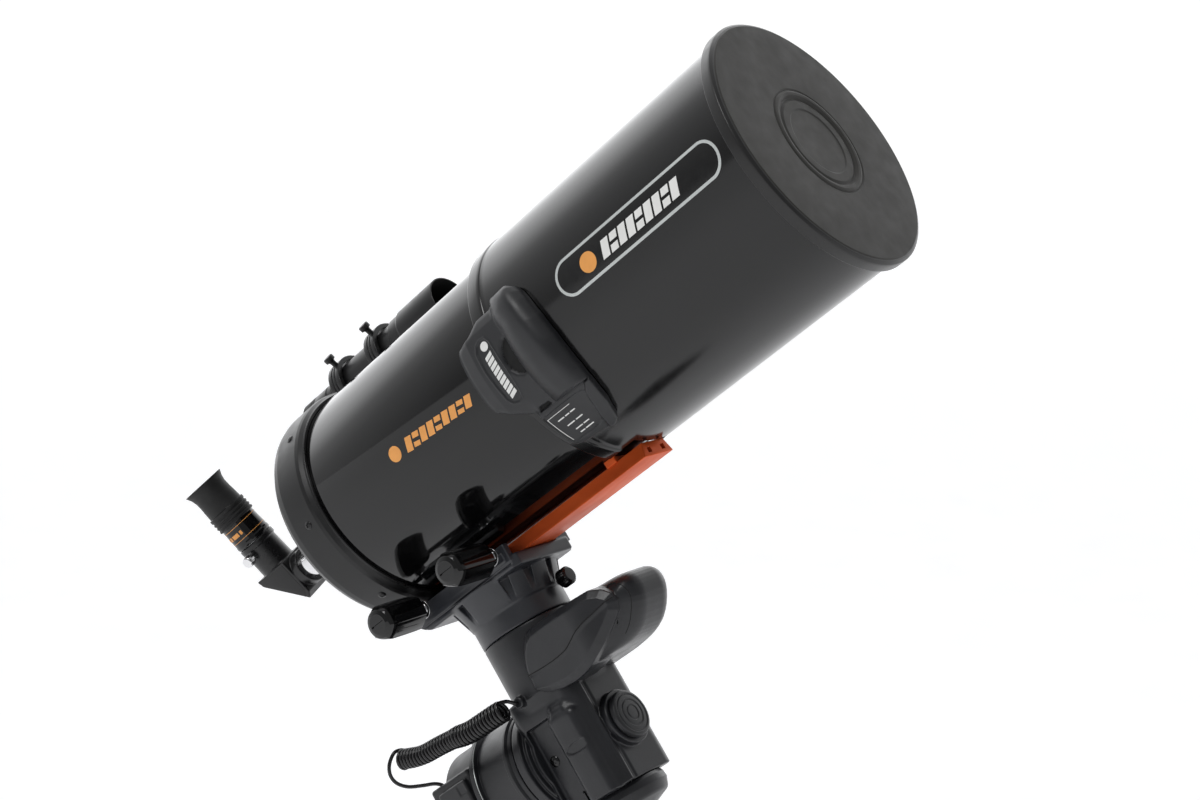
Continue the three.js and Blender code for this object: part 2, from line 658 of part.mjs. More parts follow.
// Finder: x forward along the tube, z away from it.
const finder = new THREE.Group();
finder.rotation.x = -rad(FINDER_ANGLE);
ota.add(finder);
{
  const rho = FINDER_RHO;
  const along = (pairs, seg = 36) => turned("x", pairs, seg).translate([0, 0, rho]);
  piece(
    finder,
    "finder_tube",
    along([
      [-FINDER_FRONT, 27.4], [-FINDER_FRONT, 29], [-546, 29], [-550, 27.4], [-562, 27.4], [-564, 25.6], [-664, 25.6], [-676, 20.4],
      [-706, 20.4], [-706, 17.4], [-676, 17.4], [-664, 24], [-548, 24], [-548, 27.4],
    ]),
    MAT.satin,
  );
  piece(finder, "finder_objective", along([[-545, 0], [-545.6, 12], [-547.4, 26.8], [-541, 26.8], [-539.6, 12], [-539, 0]]), MAT.glass);
  piece(
    finder,
    "finder_eyepiece",
    along([[-698, 13.6], [-698, 17], [-706.4, 17], [-706.4, 20.6], [-726, 20.6], [-FINDER_REAR, 18], [-FINDER_REAR, 11], [-712, 11], [-712, 13.6]], 28),
    MAT.rubber,
  );
  // Bracket: two rings on a foot that bolts to the rear cell.
  const r0 = ring("x", 27.6, 33, -598, -580, 36).translate([0, 0, rho]);
  const r1 = ring("x", 27.6, 33, -662, -644, 36).translate([0, 0, rho]);
  const rail = hull(box(-664, -578, -10, 10, 133.4, 137.4), box(-656, -586, -7, 7, 137, 139.4));
  const foot = cut(box(-640, -610, -11, 11, 118, 136), rod("x", REAR_CELL_R + GAP, -645, -600, 96));
  let bracket = join(r0, r1, rail, foot);
  for (const x of [-589, -653])
    for (const a of [60, -60])
      bracket = bracket.add(rod("z", 3.2, 31, 44, 10).rotate([a, 0, 0]).translate([x, 0, rho]))
        .add(rod("z", 6, 38, 45, 14).rotate([a, 0, 0]).translate([x, 0, rho]));
  bracket = bracket.add(rod("z", 2, 26.1, 32, 8).rotate([60, 0, 0]).translate([-589, 0, rho]));
  piece(finder, "finder_bracket", bracket, MAT.moulded);
}

// ---------------------------------------------------------------- dew shield and cap
{
  piece(
    ota,
    "dew_shield",
    turned(
      "x",
      [[-4.6, SHIELD_R - SHIELD_WALL], [-4.6, SHIELD_R], [-317, SHIELD_R], [-318, SHIELD_R + 0.8], [-SHIELD_END, SHIELD_R + 0.8], [-SHIELD_END, SHIELD_R - SHIELD_WALL]],
      64,
    ).subtract(box(-340, -300, -34, 34, -140, -100)), // notch for the dovetail
    MAT.gloss,
  );

  // Carrying-handle housing on the near side of the shield.
  const smooth = (t) => { t = Math.min(1, Math.max(0, t)); return t * t * (3 - 2 * t); };
  const plateTop = 20.5, plateLow = -54;
  const angleAt = (v) => plateLow + (plateTop - plateLow) * v;
  const front = (v) => 252.5 + 13 * smooth(angleAt(v) / 19) + 19 * smooth((-33 - angleAt(v)) / 20);
  const back = (v) => 362 - 35 * smooth((-15 - angleAt(v)) / 14) - 34 * smooth((angleAt(v) - 10) / 9);
  const sAt = (u, v) => front(v) + (back(v) - front(v)) * u;
  const hood = (s, a) => {
    const across = smooth((s - 250) / 16) * smooth((322 - s) / 36);
    const along = smooth((21 - a) / 8) * smooth((a + 32) / 7);
    return 17 * across * along;
  };
  let shell = wrapped(
    15, 16, sAt, angleAt,
    () => SHIELD_R + 0.8 + GAP,
    (u, v) => SHIELD_R + 3.2 + hood(sAt(u, v), angleAt(v)) - 0.9 * smooth((u - 0.8) / 0.2),
  );
  // Finger gap under the handle bar.
  const gap = wrapped(
    5, 5, (u) => 293 + 29 * u, (v) => -14 + 22 * v,
    () => SHIELD_R + 2.4, () => 132.6,
  );
  shell = shell.subtract(gap).asOriginal().simplify(0.06);
  piece(ota, "handle_housing", shell, MAT.moulded);

  piece(
    ota,
    "front_cap",
    turned(
      "x",
      [
        [-1.2, 0], [-1.2, 44], [-0.2, 46], [-0.2, 52], [-1.2, 54], [-1.2, 112], [0, 116], [-0.4, 122], [-2, 125.6], [-5, CAP_R],
        [-CAP_DEPTH, CAP_R], [-CAP_DEPTH, SHIELD_R + GAP], [-4.2, SHIELD_R + GAP], [-4.2, 0],
      ],
      64,
    ),
    MAT.cap,
  );
}

export default telescope;
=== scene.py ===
# Schmidt-Cassegrain telescope on an equatorial mount head: the visual model.
import bpy, bmesh, math
import numpy as np
from mathutils import Matrix, Vector


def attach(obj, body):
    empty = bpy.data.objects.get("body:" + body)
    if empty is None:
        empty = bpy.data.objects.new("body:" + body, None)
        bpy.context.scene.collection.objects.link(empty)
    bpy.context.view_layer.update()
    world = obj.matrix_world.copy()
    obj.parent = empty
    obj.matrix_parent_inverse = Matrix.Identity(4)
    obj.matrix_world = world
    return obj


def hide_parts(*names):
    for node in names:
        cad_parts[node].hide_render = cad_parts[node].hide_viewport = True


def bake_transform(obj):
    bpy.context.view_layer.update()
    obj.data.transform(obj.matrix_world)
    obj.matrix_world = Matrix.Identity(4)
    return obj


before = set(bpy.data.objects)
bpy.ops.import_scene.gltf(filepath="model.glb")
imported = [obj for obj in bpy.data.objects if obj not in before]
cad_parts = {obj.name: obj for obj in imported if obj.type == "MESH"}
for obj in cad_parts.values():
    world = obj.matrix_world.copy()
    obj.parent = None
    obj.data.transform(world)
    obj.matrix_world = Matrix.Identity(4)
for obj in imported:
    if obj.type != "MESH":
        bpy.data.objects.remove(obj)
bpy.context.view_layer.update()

# ------------------------------------------------------------------ frames (millimetres)
LAT = math.radians(34)
R = Vector((math.cos(LAT), 0, math.sin(LAT)))      # polar axis, and forward along the tube
U = Vector((-math.sin(LAT), 0, math.cos(LAT)))     # declination axis, up towards the tube
Y = Vector((0, 1, 0))
CROSS = Vector((0, 0, 135)) + 85 * R + 80 * U      # crossing of the two axes


def axes(origin, ex, ey, ez):
    m = Matrix.Identity(4)
    for i, v in enumerate((ex, ey, ez, origin)):
        for k in range(3):
            m[k][i] = v[k]
    return m


BASE = Matrix.Identity(4)
HEAD = axes(CROSS, R, Y, U)
OTA = axes(CROSS + 543 * R + 319 * U, R, Y, U)
_a = math.radians(22)
DIAG = axes(OTA @ Vector((-792, 0, 0)), R, Y * math.cos(_a) + U * math.sin(_a), U * math.cos(_a) - Y * math.sin(_a))
_a = math.radians(30)
FIND = axes(OTA @ Vector((0, 169.6 * math.sin(_a), 169.6 * math.cos(_a))), R, Y * math.cos(_a) - U * math.sin(_a), U * math.cos(_a) + Y * math.sin(_a))


def to_world(fr, co):
    """(n, 3) millimetres in a frame to metres in the row frame."""
    m = np.array(fr)
    return (np.asarray(co, float) @ m[:3, :3].T + m[:3, 3]) * 0.001


# ------------------------------------------------------------------ materials
def rgba(c):
    return (c[0], c[1], c[2], 1.0)


def material(name, color, rough=0.5, metal=0.0, spec=0.5, coat=0.0, coat_rough=0.1, vary=0.08, rough_vary=0.05,
             bump=((900.0, 0.15, 0.00004),), mottle=40.0, stretch=None, sheen=0.0, tint=None):
    """Procedural finish: colour mottling, roughness variation and layered bump in object space (metres)."""
    m = bpy.data.materials.new(name)
    m.use_nodes = True
    nt = m.node_tree
    b = nt.nodes["Principled BSDF"]
    b.inputs["Metallic"].default_value = metal
    b.inputs["Specular IOR Level"].default_value = spec
    b.inputs["Coat Weight"].default_value = coat
    b.inputs["Coat Roughness"].default_value = coat_rough
    b.inputs["Sheen Weight"].default_value = sheen
    co = nt.nodes.new("ShaderNodeTexCoord")
    mp = nt.nodes.new("ShaderNodeMapping")
    nt.links.new(co.outputs["Object"], mp.inputs["Vector"])
    if stretch:
        mp.inputs["Rotation"].default_value = (0, LAT, 0)
        mp.inputs["Scale"].default_value = stretch
    n = nt.nodes.new("ShaderNodeTexNoise")
    n.inputs["Scale"].default_value = mottle
    n.inputs["Detail"].default_value = 6
    nt.links.new(mp.outputs["Vector"], n.inputs["Vector"])
    ramp = nt.nodes.new("ShaderNodeValToRGB")
    lo = [max(0, x * (1 - vary)) for x in color]
    hi = [min(1, x * (1 + vary)) for x in (tint or color)]
    ramp.color_ramp.elements[0].position = 0.32
    ramp.color_ramp.elements[0].color = rgba(lo)
    ramp.color_ramp.elements[1].position = 0.68
    ramp.color_ramp.elements[1].color = rgba(hi)
    nt.links.new(n.outputs["Fac"], ramp.inputs["Fac"])
    nt.links.new(ramp.outputs["Color"], b.inputs["Base Color"])
    n2 = nt.nodes.new("ShaderNodeTexNoise")
    n2.inputs["Scale"].default_value = mottle * 3.1
    n2.inputs["Detail"].default_value = 5
    nt.links.new(mp.outputs["Vector"], n2.inputs["Vector"])
    mr = nt.nodes.new("ShaderNodeMapRange")
    mr.inputs["From Min"].default_value = 0.3
    mr.inputs["From Max"].default_value = 0.7
    mr.inputs["To Min"].default_value = max(0.02, rough - rough_vary)
    mr.inputs["To Max"].default_value = min(1, rough + rough_vary)
    nt.links.new(n2.outputs["Fac"], mr.inputs["Value"])
    nt.links.new(mr.outputs["Result"], b.inputs["Roughness"])
    prev = None
    for scale, strength, dist in bump:
        t = nt.nodes.new("ShaderNodeTexNoise")
        t.inputs["Scale"].default_value = scale
        t.inputs["Detail"].default_value = 3
        nt.links.new(mp.outputs["Vector"], t.inputs["Vector"])
        bp = nt.nodes.new("ShaderNodeBump")
        bp.inputs["Strength"].default_value = strength
        bp.inputs["Distance"].default_value = dist
        nt.links.new(t.outputs["Fac"], bp.inputs["Height"])
        if prev:
            nt.links.new(prev.outputs["Normal"], bp.inputs["Normal"])
        prev = bp
    if prev:
        nt.links.new(prev.outputs["Normal"], b.inputs["Normal"])
    return m


M = {
    "tube": material("tube_enamel", (0.0022, 0.0022, 0.0024), rough=0.07, rough_vary=0.015, bump=((14, 0.05, 0.0005), (240, 0.03, 0.0001)), mottle=18),
    "shield": material("shield_enamel", (0.004, 0.004, 0.0042), rough=0.14, rough_vary=0.02, bump=((11, 0.05, 0.0006), (260, 0.03, 0.0001)), mottle=16),
    "cap": material("cap_plastic", (0.036, 0.0348, 0.032), rough=0.55, spec=0.3, vary=0.05, bump=((1500, 0.25, 0.00005), (200, 0.08, 0.0001)), mottle=22),
    "cap_rim": material("cap_rim_plastic", (0.010, 0.0098, 0.0098), rough=0.32, vary=0.08, bump=((1500, 0.2, 0.00005),), mottle=22),
    "cell": material("cell_paint", (0.008, 0.008, 0.0084), rough=0.36, spec=0.45, vary=0.08, bump=((1300, 0.25, 0.00005), (90, 0.05, 0.0002)), mottle=26),
    "mould": material("moulded_plastic", (0.0135, 0.014, 0.0160), rough=0.42, vary=0.1, bump=((1100, 0.4, 0.00009), (2600, 0.2, 0.00003)), mottle=30),
    "cast": material("powder_coat", (0.0115, 0.0120, 0.0140), rough=0.34, vary=0.14, spec=0.5, bump=((950, 0.7, 0.00014), (2400, 0.4, 0.00006)), mottle=24, tint=(0.013, 0.0135, 0.0162)),
    "saddle_cast": material("saddle_coat", (0.026, 0.0275, 0.033), rough=0.34, vary=0.14, spec=0.6, bump=((950, 0.5, 0.00012), (2400, 0.3, 0.00005)), mottle=24),
    "iron": material("weight_enamel", (0.014, 0.0145, 0.016), rough=0.36, vary=0.1, bump=((500, 0.35, 0.00015),), mottle=20),
    "orange": material("orange_anodised", (0.62, 0.088, 0.016), rough=0.45, metal=0.3, spec=0.16, vary=0.07, rough_vary=0.05, bump=((300, 0.2, 0.00005),), mottle=30, stretch=(0.06, 1, 1), tint=(0.66, 0.105, 0.022)),
    "knob": material("knob_plastic", (0.003, 0.003, 0.0033), rough=0.09, vary=0.1, rough_vary=0.02, bump=((120, 0.05, 0.0002),), mottle=40),
    "chrome": material("bright_plate", (0.78, 0.78, 0.79), rough=0.14, metal=1.0, vary=0.03, rough_vary=0.04, bump=((400, 0.05, 0.00003),), mottle=60),
    "steel": material("machined_steel", (0.46, 0.46, 0.47), rough=0.32, metal=1.0, vary=0.08, bump=((700, 0.2, 0.00004),), mottle=60),
    "brass": material("machined_brass", (0.60, 0.40, 0.14), rough=0.32, metal=1.0, vary=0.08, bump=((700, 0.2, 0.00004),), mottle=60),
    "anod": material("black_anodise", (0.006, 0.006, 0.0065), rough=0.3, metal=0.0, spec=0.5, vary=0.12, bump=((1200, 0.2, 0.00004),), mottle=50),
    "rubber": material("matt_rubber", (0.009, 0.009, 0.009), rough=0.55, spec=0.4, vary=0.15, bump=((1400, 0.45, 0.00008),), mottle=50),
    "cord": material("cord_jacket", (0.0055, 0.0055, 0.006), rough=0.24, vary=0.15, bump=((900, 0.2, 0.00005),), mottle=60),
    "white": material("white_print", (0.80, 0.80, 0.78), rough=0.5, vary=0.03, bump=((2000, 0.1, 0.00002),), mottle=80),
    "amber": material("amber_print", (0.83, 0.36, 0.085), rough=0.42, vary=0.05, bump=((2000, 0.1, 0.00002),), mottle=80),
    "silver": material("silver_border", (0.60, 0.63, 0.62), rough=0.34, metal=0.35, vary=0.04, bump=((1500, 0.1, 0.00002),), mottle=60),
    "badge": material("badge_field", (0.003, 0.003, 0.0032), rough=0.2, vary=0.05, bump=((600, 0.05, 0.00002),), mottle=40),
    # near-black: dark seam lines on the mount, and painted shade on the floors of the finger slot and the latch slot of
    # the handle housing
    "seam": material("seam_shadow", (0.003, 0.003, 0.003), rough=0.8, vary=0.1, bump=((900, 0.1, 0.00002),)),
    "inside": material("flocked_black", (0.006, 0.006, 0.006), rough=0.85, vary=0.2, bump=((1500, 0.5, 0.0001),)),
    "mirror": material("aluminised_glass", (0.88, 0.89, 0.9), rough=0.04, metal=1.0, vary=0.01, rough_vary=0.01, bump=(), mottle=20),
}


def glass(name, color, rough=0.02):
    m = material(name, color, rough=rough, vary=0.02, rough_vary=0.01, bump=(), mottle=20)
    b = m.node_tree.nodes["Principled BSDF"]
    b.inputs["Transmission Weight"].default_value = 1.0
    b.inputs["IOR"].default_value = 1.5
    return m


M["glass"] = glass("coated_glass", (0.86, 0.92, 0.94))

# ------------------------------------------------------------------ mesh helpers


def new_object(name, co, faces, mat, sharp=35, mats=None, index=None):
    me = bpy.data.meshes.new(name)
    me.from_pydata([tuple(v) for v in co], [], [tuple(f) for f in faces])
    me.validate()
    ob = bpy.data.objects.new(name, me)
    bpy.context.scene.collection.objects.link(ob)
    for m in (mats or [mat]):
        me.materials.append(m)
    if index is not None:
        me.polygons.foreach_set("material_index", np.asarray(index, np.int32))
    finish_mesh(me, sharp)
    return ob


def finish_mesh(me, sharp=35):
    bm = bmesh.new()
    bm.from_mesh(me)
    bmesh.ops.remove_doubles(bm, verts=bm.verts, dist=1e-7)
    bmesh.ops.recalc_face_normals(bm, faces=bm.faces)
    bm.to_mesh(me)
    bm.free()
    me.polygons.foreach_set("use_smooth", [True] * len(me.polygons))
    if sharp < 180:
        me.set_sharp_from_angle(angle=math.radians(sharp))
    me.update()


def rounded(profile, steps=4, closed=True):
    """(a, r[, fillet]) corners to a polyline with each corner rounded by its fillet."""
    pts = [np.array(p[:2], float) for p in profile]
    fil = [p[2] if len(p) > 2 else 0 for p in profile]
    out, n = [], len(pts)
    for i in range(n):
        f = fil[i]
        if not closed and i in (0, n - 1):
            f = 0
        if f <= 0:
            out.append(pts[i])
            continue
        a, b = pts[i - 1] - pts[i], pts[(i + 1) % n] - pts[i]
        la, lb = np.linalg.norm(a), np.linalg.norm(b)
        a, b = a / la, b / lb
        ang = math.acos(max(-1, min(1, float(a @ b))))
        if ang > math.pi - 0.05:
            out.append(pts[i])
            continue
        t = min(f / math.tan(ang / 2), la * 0.49, lb * 0.49)
        rr = t * math.tan(ang / 2)
        mid = (a + b) / np.linalg.norm(a + b)
        cen = pts[i] + mid * rr / math.sin(ang / 2)
        p0, p1 = pts[i] + a * t, pts[i] + b * t
        v0, v1 = p0 - cen, p1 - cen
        w = math.acos(max(-1, min(1, float(v0 @ v1) / rr / rr)))
        for k in range(steps + 1):
            u = k / steps
            out.append(cen + (math.sin((1 - u) * w) * v0 + math.sin(u * w) * v1) / math.sin(w))
    return out


AX = {"x": (0, 1, 2), "y": (1, 2, 0), "z": (2, 0, 1)}


def lathe(name, fr, axis, profile, mat, seg=128, steps=4, offset=(0, 0, 0), sharp=35, arc=None, mats=None, pick=None, wobble=None):
    """Revolves a profile of (along, radius, fillet) about an axis of a frame. The profile closes on itself or on the axis."""
    on_axis = profile[0][1] <= 1e-9 and profile[-1][1] <= 1e-9
    pts = rounded(profile, steps, closed=not on_axis)
    n = len(pts)
    ia, iu, iv = AX[axis]
    co, faces, index = [], [], []
    full = arc is None
    a0, a1 = (0, 2 * math.pi) if full else (math.radians(arc[0]), math.radians(arc[1]))
    cols = seg if full else seg + 1
    for j in range(cols):
        t = a0 + (a1 - a0) * j / seg
        for k, p in enumerate(pts):
            v = [0, 0, 0]
            r = p[1]
            if wobble:
                r = wobble(p[0], r, t)
            v[ia] = p[0]
            v[iu] = r * math.cos(t)
            v[iv] = r * math.sin(t)
            co.append([v[q] + offset[q] for q in range(3)])
    m = n if not on_axis else n - 1
    for j in range(seg):
        j2 = (j + 1) % cols
        for k in range(m):
            k2 = (k + 1) % n
            f = [j * n + k, j * n + k2, j2 * n + k2, j2 * n + k]
            if pts[k][1] <= 1e-9:
                f = [j * n + k, j * n + k2, j2 * n + k2]
            elif pts[k2][1] <= 1e-9:
                f = [j * n + k, j * n + k2, j2 * n + k]
            faces.append(f)
            if pick:
                index.append(pick(0.5 * (pts[k][0] + pts[k2][0]), 0.5 * (pts[k][1] + pts[k2][1])))
    if not full and not on_axis:
        faces.append([k for k in range(n)])
        faces.append([(cols - 1) * n + k for k in reversed(range(n))])
        if pick:
            index += [0, 0]
    ob = new_object(name, to_world(fr, co), faces, mat, sharp, mats=mats, index=index if pick else None)
    return ob


def prism(name, fr, axis, outline, a0, a1, mat, bevel=0.8, segs=3, sharp=35, offset=(0, 0, 0)):
    """An outline pushed along one axis, with bevelled edges."""
    ia, iu, iv = AX[axis]
    n = len(outline)
    co = []
    for a in (a0, a1):
        for p in outline:
            v = [0, 0, 0]
            v[ia], v[iu], v[iv] = a, p[0], p[1]
            co.append([v[q] + offset[q] for q in range(3)])
    faces = [[i, (i + 1) % n, n + (i + 1) % n, n + i] for i in range(n)]
    faces += [list(range(n)), list(range(n, 2 * n))]
    ob = new_object(name, to_world(fr, co), faces, mat, 180)
    if bevel:
        bevelled(ob, bevel, segs, sharp)
    else:
        finish_mesh(ob.data, sharp)
    return ob


def block(name, fr, x0, x1, y0, y1, z0, z1, mat, bevel=0.8, segs=3):
    return prism(name, fr, "z", [(x0, y0), (x1, y0), (x1, y1), (x0, y1)], z0, z1, mat, bevel, segs)


def bevelled(ob, width, segs=3, sharp=35, limit=30):
    md = ob.modifiers.new("b", "BEVEL")
    md.width = width * 0.001
    md.segments = segs
    md.limit_method = "ANGLE"
    md.angle_limit = math.radians(limit)
    md.harden_normals = False
    bake(ob)
    finish_mesh(ob.data, sharp)
    return ob


def bake(ob):
    bpy.context.view_layer.update()
    dg = bpy.context.evaluated_depsgraph_get()
    me = bpy.data.meshes.new_from_object(ob.evaluated_get(dg))
    old = ob.data
    ob.modifiers.clear()
    ob.data = me
    me.name = ob.name
    if old.users == 0:
        bpy.data.meshes.remove(old)
    return ob


def boolean(ob, tool, op="DIFFERENCE", keep=False, solver="EXACT"):
    md = ob.modifiers.new("x", "BOOLEAN")
    md.operation = op
    md.object = tool
    md.solver = solver
    bake(ob)
    if not keep:
        bpy.data.objects.remove(tool)
    return ob


def merge(name, obs):
    """Joins objects into one mesh, keeping their materials."""
    me = bpy.data.meshes.new(name)
    bm = bmesh.new()
    mats = []
    for o in obs:
        remap = []
        for m in o.data.materials:
            if m not in mats:
                mats.append(m)
            remap.append(mats.index(m))
        start = len(bm.faces)
        bm.from_mesh(o.data)
        bm.faces.ensure_lookup_table()
        for f in bm.faces[start:]:
            f.material_index = remap[f.material_index] if f.material_index < len(remap) else 0
    bm.to_mesh(me)
    bm.free()
    for m in mats:
        me.materials.append(m)
    ob = bpy.data.objects.new(name, me)
    bpy.context.scene.collection.objects.link(ob)
    for o in obs:
        bpy.data.objects.remove(o)
    me.update()
    return ob


def tube(name, path, radius, mat, sides=12, closed=False, caps=True, squash=None, scale=None):
    """A tube along points already in metres, by parallel transport."""
    P = np.asarray(path, float)
    n = len(P)
    T = np.gradient(P, axis=0) if not closed else (np.roll(P, -1, 0) - np.roll(P, 1, 0))
    T /= np.linalg.norm(T, axis=1)[:, None]
    ref = np.array([0, 0, 1.0]) if abs(T[0][2]) < 0.9 else np.array([1.0, 0, 0])
    N = np.cross(T[0], ref)
    N /= np.linalg.norm(N)
    co = []
    for i in range(n):
        if i:
            N = N - T[i] * (N @ T[i])
            N /= np.linalg.norm(N)
        B = np.cross(T[i], N)
        rr = radius * (scale[i] if scale is not None else 1)
        for k in range(sides):
            t = 2 * math.pi * k / sides
            a, b = math.cos(t), math.sin(t) * (squash or 1)
            co.append(P[i] + rr * (a * N + b * B))
    faces = []
    for i in range(n if closed else n - 1):
        j = (i + 1) % n
        for k in range(sides):
            k2 = (k + 1) % sides
            faces.append([i * sides + k, i * sides + k2, j * sides + k2, j * sides + k])
    if not closed and caps:
        faces.append(list(range(sides))[::-1])
        faces.append([(n - 1) * sides + k for k in range(sides)])
    return new_object(name, co, faces, mat, 50)


def smoothstep(t):
    t = np.clip(t, 0, 1)
    return t * t * (3 - 2 * t)


# ------------------------------------------------------------------ cast shapes from distance fields
def s_box(lo, hi, r=0.0):
    c = [(a + b) / 2 for a, b in zip(lo, hi)]
    e = [(b - a) / 2 - r for a, b in zip(lo, hi)]

    def f(x, y, z):
        qx, qy, qz = abs(x - c[0]) - e[0], abs(y - c[1]) - e[1], abs(z - c[2]) - e[2]
        out = np.sqrt(np.maximum(qx, 0) ** 2 + np.maximum(qy, 0) ** 2 + np.maximum(qz, 0) ** 2)
        return out + np.minimum(np.maximum(qx, np.maximum(qy, qz)), 0) - r
    return f


def s_cyl(axis, r, a0, a1, off=(0, 0, 0), rd=0.0, r1=None):
    """A cylinder, or a cone from radius r at a0 to r1 at a1, with rounded ends."""
    m, h = (a0 + a1) / 2, abs(a1 - a0) / 2
    k = 0 if r1 is None else (r1 - r) / (a1 - a0)
    g = 1 / math.sqrt(1 + k * k)

    def f(x, y, z):
        p = (x - off[0], y - off[1], z - off[2])
        ia, iu, iv = AX[axis]
        rr = np.sqrt(p[iu] ** 2 + p[iv] ** 2)
        qr = (rr - (r + k * (p[ia] - a0))) * g + rd
        qa = abs(p[ia] - m) - h + rd
        return np.sqrt(np.maximum(qr, 0) ** 2 + np.maximum(qa, 0) ** 2) + np.minimum(np.maximum(qr, qa), 0) - rd
    return f


def s_ball(c, r):
    return lambda x, y, z: np.sqrt((x - c[0]) ** 2 + (y - c[1]) ** 2 + (z - c[2]) ** 2) - r


def s_capsule(p, q, r, r1=None):
    p, q = np.array(p, float), np.array(q, float)
    d = q - p
    L2 = float(d @ d)
    r1 = r if r1 is None else r1

    def f(x, y, z):
        t = np.clip(((x - p[0]) * d[0] + (y - p[1]) * d[1] + (z - p[2]) * d[2]) / L2, 0, 1)
        return np.sqrt((x - p[0] - t * d[0]) ** 2 + (y - p[1] - t * d[1]) ** 2 + (z - p[2] - t * d[2]) ** 2) - (r + (r1 - r) * t)
    return f


def s_poly(axis, pts, a0, a1, rd=0.0):
    """An extruded polygon with edges rounded by rd."""
    V = np.array(pts, float)
    m, h = (a0 + a1) / 2, abs(a1 - a0) / 2

    def f(x, y, z):
        p = (x, y, z)
        ia, iu, iv = AX[axis]
        u, v = p[iu], p[iv]
        d = (u - V[0][0]) ** 2 + (v - V[0][1]) ** 2
        s = np.ones_like(u)
        j = len(V) - 1
        for i in range(len(V)):
            ex, ey = V[j][0] - V[i][0], V[j][1] - V[i][1]
            wx, wy = u - V[i][0], v - V[i][1]
            t = np.clip((wx * ex + wy * ey) / (ex * ex + ey * ey), 0, 1)
            bx, by = wx - ex * t, wy - ey * t
            d = np.minimum(d, bx * bx + by * by)
            c1, c2, c3 = v >= V[i][1], v < V[j][1], ex * wy > ey * wx
            flip = (c1 & c2 & c3) | (~c1 & ~c2 & ~c3)
            s = np.where(flip, -s, s)
            j = i
        q = s * np.sqrt(d) + rd
        qa = abs(p[ia] - m) - h + rd
        return np.sqrt(np.maximum(q, 0) ** 2 + np.maximum(qa, 0) ** 2) + np.minimum(np.maximum(q, qa), 0) - rd
    return f


def s_union(k, *fs):
    def f(x, y, z):
        d = fs[0](x, y, z)
        for g in fs[1:]:
            e = g(x, y, z)
            if k > 0:
                h = np.clip(0.5 + 0.5 * (e - d) / k, 0, 1)
                d = e * (1 - h) + d * h - k * h * (1 - h)
            else:
                d = np.minimum(d, e)
        return d
    return f


def s_cut(k, a, *fs):
    def f(x, y, z):
        d = a(x, y, z)
        for g in fs:
            e = -g(x, y, z)
            if k > 0:
                h = np.clip(0.5 - 0.5 * (e - d) / k, 0, 1)
                d = e * (1 - h) + d * h + k * h * (1 - h)
            else:
                d = np.maximum(d, e)
        return d
    return f


def s_clip(a, b):
    return lambda x, y, z: np.maximum(a(x, y, z), b(x, y, z))


def s_move(f, off=(0, 0, 0), rot=None):
    """f seen in a frame turned by rot (3x3, columns are the local axes) and moved to off."""
    Mx = np.eye(3) if rot is None else np.array(rot, float)

    def g(x, y, z):
        x, y, z = x - off[0], y - off[1], z - off[2]
        return f(x * Mx[0][0] + y * Mx[1][0] + z * Mx[2][0], x * Mx[0][1] + y * Mx[1][1] + z * Mx[2][1], x * Mx[0][2] + y * Mx[1][2] + z * Mx[2][2])
    return g


